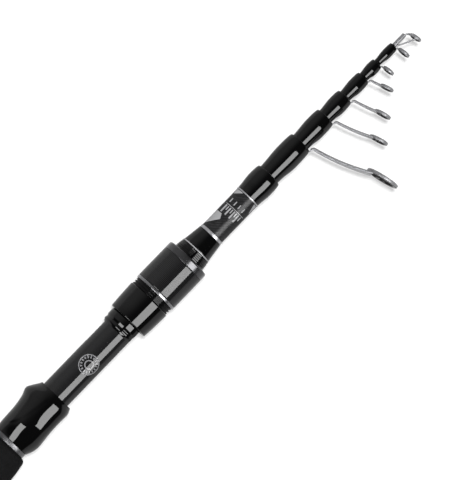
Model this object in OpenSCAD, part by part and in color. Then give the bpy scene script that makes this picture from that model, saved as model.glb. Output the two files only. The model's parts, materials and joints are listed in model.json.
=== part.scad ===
// Telescopic spinning rod, closed, lying along X from the butt face at the origin
// The line guides and the reel foot stand towards -Y, the label side faces +Z

/* [Butt end] */
// Length of the rounded end cap
cap_len = 6; // [5:0.5:10]
// Diameter of the end cap
cap_d = 20.4; // [18:0.2:24]
// Rounding of the rim of the end cap
cap_round = 3; // [1:0.5:4]
// Thickness of the gasket under the end cap
gasket_t = 0.6; // [0.4:0.1:1.5]
// How far the gasket sits back from the rim of the end cap
gasket_inset = 0.9; // [0.4:0.1:2]
// Length of the thread that holds the end cap
cap_thread_len = 12; // [10:1:18]
// Wall of the threaded bush in the butt
bush_wall = 1; // [0.6:0.1:1.6]
// Thickness of the pad that the sections rest on
pad_t = 4; // [2:0.5:8]

/* [Handle] */
// Outer diameter of the butt blank
blank_d = 12.4; // [11.6:0.1:14]
// Wall of the butt blank
butt_wall = 0.53; // [0.4:0.01:0.7]
// Length of the rear grip
rear_grip_len = 43.4; // [35:0.2:70]
// Largest diameter of the rear grip, at its rear end
rear_grip_d = 26.6; // [23:0.2:32]
// Diameter of the rear grip at its front end
rear_grip_front_d = 18.8; // [17:0.2:22]
// How late the rear grip narrows, as a power of the distance along it
rear_grip_flare = 2.2; // [1:0.1:4]
// Rounding of the foam edges
foam_round = 1.6; // [0.5:0.1:2.5]
// Length of each silver trim ring
trim_len = 0.9; // [0.5:0.1:2]
// Height of the trim rings over the blank
trim_h = 1.3; // [0.8:0.1:2]
// Length of the winding in front of the rear grip
rear_winding_len = 10.2; // [6:0.2:20]
// Build-up of a winding at its thick end
winding_h = 1; // [0.5:0.1:1.2]
// Build-up of a winding at its thin end
winding_edge_h = 0.3; // [0.1:0.05:0.45]
// Bare blank between the two grips
handle_bare_len = 138.5; // [90:0.5:220]
// Length of the winding behind the split grip
split_winding_len = 15.1; // [8:0.1:25]
// Length of the split grip
split_grip_len = 43.3; // [38:0.1:60]
// Largest diameter of the split grip
split_grip_d = 25.1; // [23:0.1:30]
// Diameter of the split grip at its rear end
split_grip_rear_d = 17.8; // [16.5:0.1:21]
// Diameter of the split grip at its front end
split_grip_front_d = 21.4; // [18:0.1:22.5]
// Distance from the rear end of the split grip to its widest place
split_grip_peak = 27; // [18:0.5:32]
// Length of the grey collar in front of the split grip
grip_collar_len = 2.6; // [1.5:0.1:5]
// Diameter of the grey collar
grip_collar_d = 18; // [16.5:0.1:20]

/* [Reel seat] */
// Thickness of the arbors between the blank and the seat
arbor_t = 0.3; // [0.2:0.05:0.8]
// Length of each arbor
arbor_len = 16; // [8:1:25]
// Wall of the seat tube
seat_wall = 1.3; // [1.2:0.1:2]
// Depth of the flat bed for the reel foot
foot_bed_depth = 0.5; // [0.2:0.05:0.6]
// Height of the hood pockets over the seat tube
pocket_h = 1.2; // [0.8:0.1:1.3]
// Width of the hood pockets, as an angle about the rod
pocket_angle = 70; // [50:1:90]
// Depth of the pocket in the fixed hood
fixed_pocket_len = 14; // [8:0.5:18]
// Length of the fixed hood
fixed_hood_len = 29.4; // [25:0.2:36]
// Seat tube left open between the hoods
seat_open_len = 40.4; // [30:0.2:60]
// Length of the narrow nose of the moving hood
hood_nose_len = 7.5; // [5:0.1:12]
// Height of the nose over the seat tube
hood_nose_h = 1.2; // [0.9:0.1:2]
// Length of the barrel of the moving hood
hood_barrel_len = 14.4; // [11:0.1:20]
// Height of the barrel over the seat tube at its rear end
hood_barrel_h = 2.9; // [2.6:0.1:3.2]
// Depth of the pocket in the moving hood
moving_pocket_len = 13; // [9:0.5:16]
// Rearward travel of the moving hood
hood_travel = 12; // [6:0.5:20]
// Width of the key that stops the moving hood turning
key_w = 2.4; // [1.5:0.1:3.5]
// Depth of the keyway in the seat tube
keyway_depth = 0.6; // [0.3:0.05:0.7]
// Length of the grooved slip ring
slip_ring_len = 3.3; // [2:0.1:6]
// Number of grooves round the slip ring
slip_grooves = 2; // [1:1:3]
// Length of the silver ring of the lock nut
nut_ring_len = 1.4; // [0.8:0.1:3]
// Length of the sleeve of the lock nut
nut_sleeve_len = 17.6; // [12:0.2:25]
// Height of the lock nut over the seat tube
nut_h = 3.5; // [3:0.1:5]
// Thickness of the sleeve of the lock nut
nut_sleeve_t = 1.4; // [0.8:0.1:1.8]
// Length of the bezel of the lock nut
bezel_len = 3.8; // [2.5:0.1:6]
// Running clearance of the nut and hood on the seat tube
seat_clearance = 0.08; // [0.04:0.01:0.15]

/* [Front of the handle] */
// Length of the stepped front collar
front_collar_len = 4.6; // [3:0.1:8]
// Height of the front collar over the blank
front_collar_h = 2.3; // [1.9:0.1:3]
// Number of ribs round the front collar
collar_ribs = 4; // [2:1:5]
// Length of the thin silver lines
line_len = 0.6; // [0.3:0.1:1.2]
// Length of the front winding
front_winding_len = 9.2; // [5:0.2:15]
// Build-up of the front winding at the collar
front_winding_h = 1.5; // [0.8:0.1:1.8]
// Length of the silver band
band_len = 1.4; // [0.8:0.1:3]
// Height of the silver band and lines over the blank
band_h = 0.25; // [0.1:0.05:0.6]
// Length of the label zone
label_len = 23.4; // [15:0.2:40]
// Length of the wrap at the mouth of the butt blank
mouth_wrap_len = 14.1; // [8:0.1:20]
// Build-up of that wrap at its thickest place
mouth_wrap_h = 0.8; // [0.5:0.05:1.2]

/* [Sections] */
// Length over which one section seats in the next when drawn out
seat_overlap = 72.2; // [45:0.2:90]
// Taper of the seat over that length
seat_draft = 0.03; // [0.01:0.01:0.06]
// Radial clearance of one section in the next
slide_clearance = 0.05; // [0.03:0.01:0.08]
// Walls of sections 2 to 5
section_wall = [0.65, 0.64, 0.63, 0.4]; // [0.3:0.01:0.7]
// Fall of the radius from the seat to the mouth of sections 2 to 5
section_draft = 0.15; // [0.05:0.01:0.3]
// Visible lengths of sections 2 to 5 when closed
section_show = [21.2, 16.8, 13.2, 12.6]; // [12:0.1:30]
// Build-up of the wraps on sections 2 to 5 at their thickest place
wrap_h = [0.8, 0.7, 0.7, 0.7]; // [0.6:0.05:0.9]
// Build-up of every wrap at its front end
wrap_end_h = 0.42; // [0.42:0.02:0.5]
// Diameter of the tip section at its front end
tip_d = 1.6; // [1.2:0.1:2]

/* [Floating guides] */
// Visible lengths of the two floating guides when closed
float_show = [9.3, 11.4]; // [8:0.1:14]
// Where each floating guide seats on the drawn tip, as a share of the taper
float_place = [0.31, 0.72]; // [0.2:0.01:0.8]
// Wall of the sleeve of a floating guide
float_wall = 0.3; // [0.2:0.05:0.4]
// Build-up of the wrap on a floating guide at its thickest place
float_wrap_h = 0.65; // [0.6:0.05:0.75]

/* [Guides] */
// Outer diameters of the guide rings, the tip-top last
ring_od = [16.5, 9.5, 8.4, 6.9, 6, 6.3, 5.9]; // [5.5:0.1:18]
// Bores of the guide rings
ring_id = [12.5, 6.6, 5.6, 4.4, 3.7, 3.8, 3.6]; // [3.5:0.1:13]
// Clear heights from the section to the near edge of each guide ring
guide_lift = [25.5, 16.2, 10.6, 5, 1, 0.9, 0.7]; // [0.6:0.1:30]
// How far each ring stands in front of its foot
guide_forward = [14.7, 9.6, 6.4, 4.1, 1.2, 0.9, 9.6]; // [0.6:0.1:16]
// Forward lean of each ring in degrees
ring_tilt = [12, 16, 14, 17, 6, 5.5, 10]; // [0:0.5:20]
// Thicknesses of the stamped guide legs
leg_t = [1.5, 1.2, 1.1, 1, 0.6, 0.6]; // [0.4:0.05:1.6]
// Widths of the legs at the foot
leg_root_w = [3, 2.4, 2, 1.8, 1.4, 1.4]; // [1:0.1:4]
// Widths of the legs where they hold the ring
leg_end_w = [11.6, 6.8, 6, 5, 3.4, 3.4]; // [2:0.1:13]
// How far each leg runs on along the rod before it bends
leg_jog = [0.9, 0.8, 0.7, 0.6, 0.1, 0.1]; // [0.1:0.1:1.5]
// Bend radii at the root of the legs
leg_bend = [1.5, 1.3, 1.2, 1, 0.4, 0.3]; // [0.3:0.1:2]
// Share of the ring diameter that each leg reaches past its near edge
leg_reach = [0.35, 0.35, 0.35, 0.35, 0.12, 0.12]; // [0.1:0.01:0.4]
// Bow of each leg in degrees at its root
leg_bow = [9, 6, 4, 3, 1, 1]; // [0:0.5:10]
// Thickness of the guide feet under the wraps
foot_t = 0.3; // [0.2:0.02:0.32]
// Axial width of the ring holders
holder_w = 1.5; // [1:0.1:2]
// Radial wall of the ring holders
holder_wall = 0.55; // [0.4:0.05:0.7]
// Length of the straight land in the bore of each ring
ring_land = 0.5; // [0.3:0.1:0.8]
// Wire diameter of the legs of the tip-top
tip_leg_d = 0.6; // [0.5:0.05:0.7]
// Length of the tube of the tip-top
tip_tube_len = 7; // [6:0.1:8]
// Wall of the tube of the tip-top
tip_tube_wall = 0.27; // [0.2:0.01:0.4]

/* [Hidden] */
$fn = 64;
// Gap at glued and bound seats
glue_gap = 0.03;
// Gap between flat faces that run against each other
face_gap = 0.1;
// Gap between the stacked ends of the closed sections
stack_gap = 0.3;
// Build-up at the very edge of a wrap
wrap_edge = 0.12;
// How far a cut runs past the faces it opens
cut = 1;
// Steps along a turned curve, and degrees per step on its rounded edges
curve_steps = 12;
edge_step = 30;
// Where a wrap is thickest, as a share of its length, and how late its nose falls, as a power
wrap_peak = 0.57;
wrap_nose = 2.6;
// Sides and steps of a wire, and its bow as a share of its length
wire_sides = 8;
wire_steps = 6;
wire_bow = 0.05;
// Places where the wires of the tip-top join its tube and its ring, in degrees from the guide side
wire_turn = 90;
wire_angle = 60;
brace_turn = 18;
brace_angle = 105;
// Steps along a stamped leg and round its bend, and how late it widens, as a power
leg_steps = 8;
bend_steps = 4;
leg_flare = 1.4;
// Share of a wrap that the guide foot reaches under
foot_share = 0.7;
// Rings and sides of the sculpted hood
hood_rings = 24;
hood_sides = 40;
// Sculpted hood: share of its length, then heights over the seat at the angles below, from +Y to -Y
hood_angles = [0, 45, 90, 135, 180];
hood_stations = [
    [0, [1.7, 1.8, 1.4, 1.2, 1.2]],
    [0.1, [2.1, 2.9, 1.8, 1.3, 2.7]],
    [0.2, [2.2, 3.5, 1.9, 1.4, 3.3]],
    [0.3, [2.2, 3.4, 1.8, 1.5, 3]],
    [0.42, [2.4, 3.1, 1.8, 1.8, 2.5]],
    [0.58, [3.1, 3, 1.9, 2.1, 2.3]],
    [0.76, [4.7, 3.2, 2.2, 2.4, 2.3]],
    [0.88, [3.2, 2.5, 2.1, 2.3, 2.4]],
    [1, [0.9, 0.9, 0.9, 1.2, 1.5]]
];
// Chamfer of the turned seat pieces
seat_chamfer = 0.5;
// Waist behind the bead of the moving hood
nose_waist = 0.3;
// Depth of the grooves between the ribs of the front collar
rib_depth = 0.35;

blank_r = blank_d / 2;
seat_in_r = blank_r + arbor_t;
seat_r = seat_in_r + seat_wall;
seat_run_r = seat_r + seat_clearance;
nut_r = seat_r + nut_h;
core_r = nut_r - nut_sleeve_t;
hood_r = seat_r + hood_barrel_h;
tip_r = tip_d / 2;
tip_tube_r = tip_r + glue_gap + tip_tube_wall;

// Stations along the rod
x_blank = cap_len + gasket_t;
x_pad = x_blank + cap_thread_len;
x_bush_end = x_pad + pad_t;
x_stack = x_bush_end + stack_gap;
x_rear_ring = x_blank + rear_grip_len;
x_rear_winding = x_rear_ring + trim_len;
x_bare = x_rear_winding + rear_winding_len + trim_len;
x_split_winding = x_bare + handle_bare_len;
x_split_ring = x_split_winding + split_winding_len;
x_split_grip = x_split_ring + trim_len;
x_grip_collar = x_split_grip + split_grip_len;
x_seat = x_grip_collar + grip_collar_len;
x_seat_open = x_seat + fixed_hood_len;
x_hood = x_seat_open + seat_open_len;
x_slip = x_hood + hood_nose_len + hood_barrel_len;
x_nut = x_slip + slip_ring_len + face_gap;
x_sleeve = x_nut + nut_ring_len;
x_bezel = x_sleeve + nut_sleeve_len;
x_front_collar = x_bezel + bezel_len + face_gap;
x_line = x_front_collar + front_collar_len;
x_front_winding = x_line + line_len;
x_band = x_front_winding + front_winding_len;
x_label = x_band + band_len;
x_label_ring = x_label + label_len;
x_mouth_wrap = x_label_ring + line_len;

// Telescope, section 0 is the butt blank and section n + 1 runs in section n
last = len(section_show);
function rim(n) = n == 0 ? x_mouth_wrap + mouth_wrap_len : rim(n - 1) + section_show[n - 1];
function mouth(n) = n == 0 ? blank_r - butt_wall : neck(n) - section_wall[n - 1];
function seat(n) = mouth(n - 1) - slide_clearance;
function neck(n) = seat(n) - section_draft;
function float_front(k) = k == 0 ? rim(last) + float_show[0] : float_front(k - 1) + float_show[k];
function float_rear(k) = stack_gap + (k == 0 ? rim(last) : float_front(k - 1));
x_tip_tube = float_front(1) + stack_gap;
tip_len = x_tip_tube + tip_tube_len - glue_gap - x_stack;
tip_seat_r = mouth(last) - slide_clearance;
tip_taper_len = tip_len - seat_overlap - tip_tube_len;
function float_bore(k) = tip_seat_r - (tip_seat_r - tip_r) * float_place[k] + slide_clearance;
function float_r(k) = float_bore(k) + float_wall;

// Guides, 0 to 3 on sections 2 to 5, then the floating guides, the tip-top last
tip_top = len(ring_od) - 1;
function base_r(g) = g < last ? neck(g + 1) : g < tip_top ? float_r(g - last) : tip_tube_r - glue_gap;
function base_x(g) = g < last ? rim(g + 1) : g < tip_top ? float_front(g - last) : x_tip_tube;
function base_wrap(g) = (g < last ? section_show[g] : float_show[g - last]) - stack_gap;
function ring_r(g) = ring_od[g] / 2;
function ring_at(g) = [base_x(g) + guide_forward[g], -base_r(g) - guide_lift[g] - ring_r(g), 0];
function seat_ring_r(g) = ring_r(g) - holder_wall;
function foot_angle(g) = 2 * asin(leg_root_w[g] / 2 / base_r(g));
function foot_len(g) = foot_share * base_wrap(g);

// Turns a local Z axis along the rod, at distance x from the butt face
module along(x) {
    translate([x, 0, 0]) rotate([0, 90, 0]) children();
}

// Turned piece from an outline of [radius, distance] points, bored through
module turned(outline, bore) {
    first = outline[0];
    final = outline[len(outline) - 1];
    rotate_extrude() polygon(concat([[bore, first[1]]], outline, [[bore, final[1]]]));
}

// Plain ring
module ring(outer, bore, length) {
    turned([[outer, 0], [outer, length]], bore);
}

// Outline with rounded ends along a radius given as a function of the share of the length
function rounded_outline(length, edge, radius_at) = concat(
    [for (a = [0:edge_step:90]) let (z = edge * (1 - cos(a)))
        [radius_at(z / length) - edge * (1 - sin(a)), z]],
    [for (k = [1:curve_steps - 1]) let (z = edge + (length - 2 * edge) * k / curve_steps)
        [radius_at(z / length), z]],
    [for (a = [90:-edge_step:0]) let (z = length - edge * (1 - cos(a)))
        [radius_at(z / length) - edge * (1 - sin(a)), z]]
);

// Height of a wrap at a share of its length, from its thin rear edge over its swell to its front end
function wrap_height(t, rise) = t < wrap_peak
    ? wrap_edge + (rise - wrap_edge) * (1 - cos(180 * t / wrap_peak)) / 2
    : wrap_end_h + (rise - wrap_end_h) * sqrt(1 - pow((t - wrap_peak) / (1 - wrap_peak), wrap_nose));

// Outline of a wrap on a tube of radius r
function wrap_outline(length, r, rise) = [
    for (k = [0:curve_steps]) let (t = k / curve_steps) [r + wrap_height(t, rise), length * t]
];

// Part of a tube about the rod, centred on -Y
module sector(inner, outer, length, angle) {
    rotate([0, 0, -90 - angle / 2]) rotate_extrude(angle = angle)
        translate([inner, 0]) square([outer - inner, length]);
}

function unit(v) = v / norm(v);
function bezier(a, b, c, t) = (1 - t) * (1 - t) * a + 2 * t * (1 - t) * b + t * t * c;

// Wire of round section along a bowed path between two points
module wire(from, to, bow, diameter) {
    middle = (from + to) / 2 + bow;
    path = [for (k = [0:wire_steps]) bezier(from, middle, to, k / wire_steps)];
    points = [for (k = [0:wire_steps]) let (
            ahead = unit(path[min(k + 1, wire_steps)] - path[max(k - 1, 0)]),
            side = unit(cross(ahead, [0, 0, 1])),
            up = cross(side, ahead)
        ) each [for (j = [0:wire_sides - 1]) let (a = 360 * j / wire_sides)
            path[k] + diameter / 2 * (cos(a) * side + sin(a) * up)]];
    tail = wire_steps * wire_sides;
    walls = [for (k = [0:wire_steps - 1]) for (j = [0:wire_sides - 1]) let (
            a = k * wire_sides + j,
            b = k * wire_sides + (j + 1) % wire_sides
        ) each [[a, b, b + wire_sides], [a, b + wire_sides, a + wire_sides]]];
    ends = [for (j = [1:wire_sides - 2]) each [[0, j + 1, j], [tail, tail + j, tail + j + 1]]];
    polyhedron(points, concat(walls, ends));
}

// Butt blank, a straight tube with the seat for section 2 in its mouth
module butt_blank() {
    length = rim(0) - x_blank;
    deep = mouth(0) + seat_draft;
    color("dimgray") along(x_blank) rotate_extrude() polygon([
        [deep, 0], [blank_r, 0], [blank_r, length], [mouth(0), length], [deep, length - seat_overlap]
    ]);
}

module butt_bush() {
    outer = mouth(0) + seat_draft - glue_gap;
    color("goldenrod") along(x_blank) ring(outer, outer - bush_wall, x_bush_end - x_blank);
}

module rear_grip() {
    big = rear_grip_d / 2;
    fall = big - rear_grip_front_d / 2;
    outline = rounded_outline(rear_grip_len, foam_round, function(t) big - fall * pow(t, rear_grip_flare));
    color("darkslategray") along(x_blank) turned(outline, blank_r + glue_gap);
}

// Winding that thins from one end to the other
module winding(length, rear_h, front_h) {
    turned([[blank_r + rear_h, 0], [blank_r + front_h, length]], blank_r + glue_gap);
}

module rear_winding() {
    color("black") along(x_rear_winding) winding(rear_winding_len, winding_h, winding_h - winding_edge_h);
}

module rear_trim_rings() {
    color("silver") for (x = [x_rear_ring, x_bare - trim_len])
        along(x) ring(blank_r + trim_h, blank_r + glue_gap, trim_len);
}

module split_grip_winding() {
    color("black") along(x_split_winding) winding(split_winding_len, winding_edge_h, winding_h + winding_edge_h);
}

module split_grip_trim_ring() {
    color("silver") along(x_split_ring) ring(blank_r + trim_h + winding_edge_h, blank_r + glue_gap, trim_len);
}

module split_grip() {
    big = split_grip_d / 2;
    rear_fall = big - split_grip_rear_d / 2;
    front_fall = big - split_grip_front_d / 2;
    peak = split_grip_peak / split_grip_len;
    outline = rounded_outline(split_grip_len, foam_round, function(t) t < peak
        ? big - rear_fall * pow(1 - t / peak, 2)
        : big - front_fall * pow((t - peak) / (1 - peak), 2));
    color("darkslategray") along(x_split_grip) turned(outline, blank_r + glue_gap);
}

module grip_collar() {
    color("gray") along(x_grip_collar) ring(grip_collar_d / 2, blank_r + glue_gap, grip_collar_len);
}

// Seat tube with the flat bed for the reel foot and the keyway of the moving hood
module seat_body() {
    length = x_front_collar - x_seat;
    bed_start = fixed_hood_len - fixed_pocket_len;
    bed_end = x_hood + moving_pocket_len - x_seat;
    key_start = x_hood - x_seat - hood_travel - face_gap;
    keyway_w = key_w + 2 * seat_clearance;
    color("black") along(x_seat) difference() {
        ring(seat_r, seat_in_r, length);
        translate([-seat_r, -seat_r - cut, bed_start])
            cube([2 * seat_r, cut + foot_bed_depth, bed_end - bed_start]);
        translate([-keyway_w / 2, seat_r - keyway_depth, key_start])
            cube([keyway_w, keyway_depth + cut, length - key_start + cut]);
    }
}

module seat_arbors() {
    color("burlywood") for (x = [x_seat, x_front_collar - arbor_len])
        along(x) ring(seat_in_r - glue_gap, blank_r + glue_gap, arbor_len);
}

// Smooth curve through values at rising keys
function spline(keys, values, t) = let (
    final = len(keys) - 1,
    k = max([for (i = [0:final - 1]) if (keys[i] <= t) i]),
    before = max(k - 1, 0),
    after = min(k + 2, final),
    width = keys[k + 1] - keys[k],
    u = (t - keys[k]) / width,
    rise = (values[k + 1] - values[before]) / (keys[k + 1] - keys[before]) * width,
    fall = (values[after] - values[k]) / (keys[after] - keys[k]) * width
) values[k] * (1 + 2 * u) * pow(1 - u, 2) + values[k + 1] * (3 - 2 * u) * u * u
    + rise * u * pow(1 - u, 2) - fall * u * u * (1 - u);

// Radius of the sculpted hood at a share of its length, at an angle from +Y
function hood_radius(t, angle) = let (
    heights = spline([for (row = hood_stations) row[0]], [for (row = hood_stations) row[1]], t)
) seat_r + spline(hood_angles, heights, acos(cos(angle)));

module hood_shell() {
    points = [for (k = [0:hood_rings]) for (j = [0:hood_sides - 1]) let (
            t = k / hood_rings,
            angle = 360 * j / hood_sides,
            r = hood_radius(t, angle)
        ) [-r * sin(angle), r * cos(angle), t * fixed_hood_len]];
    tail = hood_rings * hood_sides;
    walls = [for (k = [0:hood_rings - 1]) for (j = [0:hood_sides - 1]) let (
            a = k * hood_sides + j,
            b = k * hood_sides + (j + 1) % hood_sides
        ) each [[a, b + hood_sides, b], [a, a + hood_sides, b + hood_sides]]];
    ends = [for (j = [1:hood_sides - 2]) each [[0, j, j + 1], [tail, tail + j + 1, tail + j]]];
    polyhedron(points, concat(walls, ends));
}

// Fixed hood with its palm swell at +Y and the reel foot pocket at -Y
module fixed_hood() {
    color("dimgray") along(x_seat) difference() {
        hood_shell();
        translate([0, 0, -cut]) cylinder(r = seat_r + glue_gap, h = fixed_hood_len + 2 * cut);
        translate([0, 0, fixed_hood_len - fixed_pocket_len])
            sector(seat_r - cut, seat_r + pocket_h, fixed_pocket_len + cut, pocket_angle);
    }
}

// Front collar with ribs round it that step down to the winding
module front_collar() {
    pitch = front_collar_len / (2 * collar_ribs - 1);
    rise = [for (k = [0:2 * collar_ribs - 2])
        blank_r + front_collar_h - seat_chamfer * k / (2 * collar_ribs - 2) - rib_depth * (k % 2)];
    outline = [for (k = [0:2 * collar_ribs - 2]) each [[rise[k], k * pitch], [rise[k], (k + 1) * pitch]]];
    color("black") along(x_front_collar) turned(outline, blank_r + glue_gap);
}

module front_trim_line() {
    color("silver") along(x_line) ring(blank_r + front_winding_h + band_h, blank_r + glue_gap, line_len);
}

module front_winding() {
    color("black") along(x_front_winding) winding(front_winding_len, front_winding_h, winding_edge_h);
}

module front_trim_band() {
    color("silver") along(x_band) ring(blank_r + band_h, blank_r + glue_gap, band_len);
}

module label_trim_ring() {
    color("silver") along(x_label_ring) ring(blank_r + band_h, blank_r + glue_gap, line_len);
}

module butt_mouth_wrap() {
    outline = wrap_outline(mouth_wrap_len, blank_r, mouth_wrap_h);
    color("black") along(x_mouth_wrap) turned(outline, blank_r + glue_gap);
}

// Moving hood: nose, barrel, neck for the slip ring, key and reel foot pocket
module moving_hood() {
    nose_r = seat_r + hood_nose_h;
    front_r = hood_r + seat_chamfer;
    barrel_end = hood_nose_len + hood_barrel_len;
    key_h = keyway_depth - seat_clearance;
    color("dimgray") along(x_hood) {
        difference() {
            turned([
                [nose_r - seat_chamfer, 0], [nose_r, 2 * seat_chamfer],
                [nose_r - nose_waist, hood_nose_len / 3], [nose_r, hood_nose_len / 2], [nose_r, hood_nose_len],
                [hood_r - seat_chamfer, hood_nose_len], [hood_r, hood_nose_len + seat_chamfer],
                [front_r, barrel_end - seat_chamfer], [hood_r, barrel_end],
                [nose_r, barrel_end], [nose_r, barrel_end + slip_ring_len]
            ], seat_run_r);
            translate([0, 0, -cut])
                sector(seat_r - cut, seat_r + pocket_h, moving_pocket_len + cut, pocket_angle);
        }
        translate([-key_w / 2, seat_run_r - seat_clearance - key_h, 0])
            cube([key_w, key_h + hood_nose_h / 2, barrel_end]);
    }
}

// Slip ring between the hood and the nut, with grooves round it
module slip_ring() {
    pitch = slip_ring_len / (2 * slip_grooves + 1);
    rise = [for (k = [0:2 * slip_grooves]) hood_r - seat_chamfer * (k % 2)];
    outline = [for (k = [0:2 * slip_grooves]) each [[rise[k], k * pitch], [rise[k], (k + 1) * pitch]]];
    color("#303030") along(x_slip) turned(outline, seat_r + hood_nose_h + glue_gap);
}

module lock_nut() {
    color("#404040") along(x_nut) ring(core_r, seat_run_r, nut_ring_len + nut_sleeve_len);
}

module nut_trim_ring() {
    color("silver") along(x_nut) ring(nut_r, core_r + glue_gap, nut_ring_len);
}

module nut_sleeve() {
    color("#383838") along(x_sleeve) turned([
        [nut_r - seat_chamfer, 0], [nut_r, seat_chamfer],
        [nut_r, nut_sleeve_len - seat_chamfer], [nut_r - seat_chamfer, nut_sleeve_len]
    ], core_r + glue_gap);
}

// Bezel that closes the front of the nut with a rounded shoulder
module nut_bezel() {
    shoulder = nut_h - nut_sleeve_t;
    straight = bezel_len / 3;
    rounded = [for (a = [0:edge_step / 2:90])
        [nut_r - shoulder * (1 - cos(a)), straight + (bezel_len - straight) * sin(a)]];
    color("gray") along(x_bezel) turned(concat([[nut_r, 0]], rounded), seat_run_r);
}

module butt_gasket() {
    color("black") along(cap_len) ring(cap_d / 2 - gasket_inset, cap_spigot_r() + glue_gap, gasket_t - face_gap);
}

function cap_spigot_r() = mouth(0) + seat_draft - glue_gap - bush_wall - seat_clearance;

// End cap with a rounded rim and the spigot that screws into the bush
module butt_cap() {
    outer = cap_d / 2;
    spigot = cap_spigot_r();
    rim_arc = [for (a = [0:edge_step / 2:90]) [outer - cap_round * (1 - sin(a)), cap_round * (1 - cos(a))]];
    color("#282828") rotate([0, 90, 0]) rotate_extrude() polygon(concat(
        [[0, 0]], rim_arc, [[outer, cap_len], [spigot, cap_len], [spigot, x_pad], [0, x_pad]]
    ));
}

module stack_pad() {
    color("saddlebrown") along(x_pad) cylinder(r = cap_spigot_r() - seat_clearance, h = pad_t);
}

// Tapered tube of section n, with a seat at its rear, a straight neck and a mouth for the next
module section_tube(n) {
    length = rim(n) - x_stack;
    rear = seat(n) + seat_draft;
    color(n % 2 == 0 ? "dimgray" : "slategray") along(x_stack) rotate_extrude() polygon([
        [rear - section_wall[n - 1], 0], [rear, 0], [seat(n), seat_overlap],
        [neck(n), length - base_wrap(n - 1)], [neck(n), length],
        [mouth(n), length], [mouth(n) + seat_draft, length - seat_overlap]
    ]);
}

module section_2_tube() { section_tube(1); }
module section_3_tube() { section_tube(2); }
module section_4_tube() { section_tube(3); }
module section_5_tube() { section_tube(4); }

// Solid tip section, tapered from its seat to the straight end in the tip-top
module tip_section() {
    color("slategray") along(x_stack) rotate_extrude() polygon([
        [0, 0], [tip_seat_r + seat_draft, 0], [tip_seat_r, seat_overlap],
        [tip_r, tip_len - tip_tube_len], [tip_r, tip_len], [0, tip_len]
    ]);
}

// Wrap that binds the foot of guide g, with the room that the foot takes
module guide_wrap(g, rise) {
    length = base_wrap(g);
    foot = foot_len(g) + glue_gap;
    outline = wrap_outline(length, base_r(g), rise);
    color("black") along(base_x(g) - length) difference() {
        turned(outline, base_r(g) + glue_gap);
        translate([0, 0, length - foot])
            sector(base_r(g) - cut / 2, base_r(g) + foot_t + 2 * glue_gap, foot + cut, foot_angle(g) + 2);
    }
}

module section_2_wrap() { guide_wrap(0, wrap_h[0]); }
module section_3_wrap() { guide_wrap(1, wrap_h[1]); }
module section_4_wrap() { guide_wrap(2, wrap_h[2]); }
module section_5_wrap() { guide_wrap(3, wrap_h[3]); }
module float_guide_1_wrap() { guide_wrap(4, float_wrap_h); }
module float_guide_2_wrap() { guide_wrap(5, float_wrap_h); }

// Sets a child with its axis along Z into the place and lean of guide ring g
module at_ring(g) {
    translate(ring_at(g)) rotate([0, 0, ring_tilt[g]]) rotate([0, 90, 0]) children();
}

// Ring holder round the children, bored for the ring and for the line
module held_ring(g) {
    color("silver") difference() {
        union() {
            children();
            at_ring(g) cylinder(r = ring_r(g), h = holder_w, center = true);
        }
        at_ring(g) cylinder(r = seat_ring_r(g), h = ring_od[g] + holder_w, center = true);
    }
}

// Middle line of the stamped leg of guide g: out of the foot, round the bend and on to the ring
function leg_path(g) = let (
    lean = ring_tilt[g],
    reach = ring_r(g) * (1 - 2 * leg_reach[g]),
    behind = (holder_w - leg_t[g]) / 2,
    ring = [ring_at(g)[0], ring_at(g)[1]],
    end = ring + reach * [-sin(lean), cos(lean)] - behind * [cos(lean), sin(lean)],
    bend = leg_bend[g],
    centre = [base_x(g) + leg_jog[g], -base_r(g) - glue_gap - leg_t[g] / 2 - bend],
    root_lean = atan2(end[0] - centre[0] - bend, centre[1] - end[1]) - leg_bow[g],
    root = centre + bend * [cos(root_lean), sin(root_lean)],
    middle = root + norm(end - root) / 2 * [sin(root_lean), -cos(root_lean)]
) concat(
    [[base_x(g) + glue_gap, centre[1] + bend]],
    [for (k = [0:bend_steps]) let (a = (90 - root_lean) * k / bend_steps) centre + bend * [sin(a), cos(a)]],
    [for (k = [1:leg_steps]) bezier(root, middle, end, k / leg_steps)]
);

// Side view of a strip of thickness t along a path
function strip_outline(path, t) = let (
    final = len(path) - 1,
    normal = [for (k = [0:final]) let (ahead = unit(path[min(k + 1, final)] - path[max(k - 1, 0)]))
        [-ahead[1], ahead[0]]]
) concat(
    [for (k = [0:final]) path[k] + normal[k] * t / 2],
    [for (k = [final:-1:0]) path[k] - normal[k] * t / 2]
);

// Front view of the leg of guide g, which widens from its foot to the ring
function leg_front(g) = let (
    path = leg_path(g),
    end_y = path[len(path) - 1][1],
    flare = [for (k = [0:leg_steps]) let (t = k / leg_steps) [
        (leg_root_w[g] + (leg_end_w[g] - leg_root_w[g]) * pow(t, leg_flare)) / 2,
        -base_r(g) + (end_y + base_r(g)) * t
    ]],
    side = concat([[leg_root_w[g] / 2, 0]], flare, [[leg_end_w[g] / 2, end_y - cut]])
) concat(side, [for (k = [len(side) - 1:-1:0]) [-side[k][0], side[k][1]]]);

// Stamped leg, cut to its side view and its front view
module stamped_leg(g) {
    length = ring_at(g)[0] + ring_r(g) - base_x(g);
    intersection() {
        linear_extrude(leg_end_w[g] + 2 * cut, center = true) polygon(strip_outline(leg_path(g), leg_t[g]));
        along(base_x(g)) linear_extrude(length) polygon(leg_front(g));
    }
}

// Guide frame with a foot under the wrap, a stamped leg and the ring holder
module guide_frame(g) {
    foot_r = base_r(g) + glue_gap;
    held_ring(g) {
        along(base_x(g) - foot_len(g))
            sector(foot_r, foot_r + foot_t, foot_len(g) + leg_jog[g], foot_angle(g));
        stamped_leg(g);
    }
}

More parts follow.
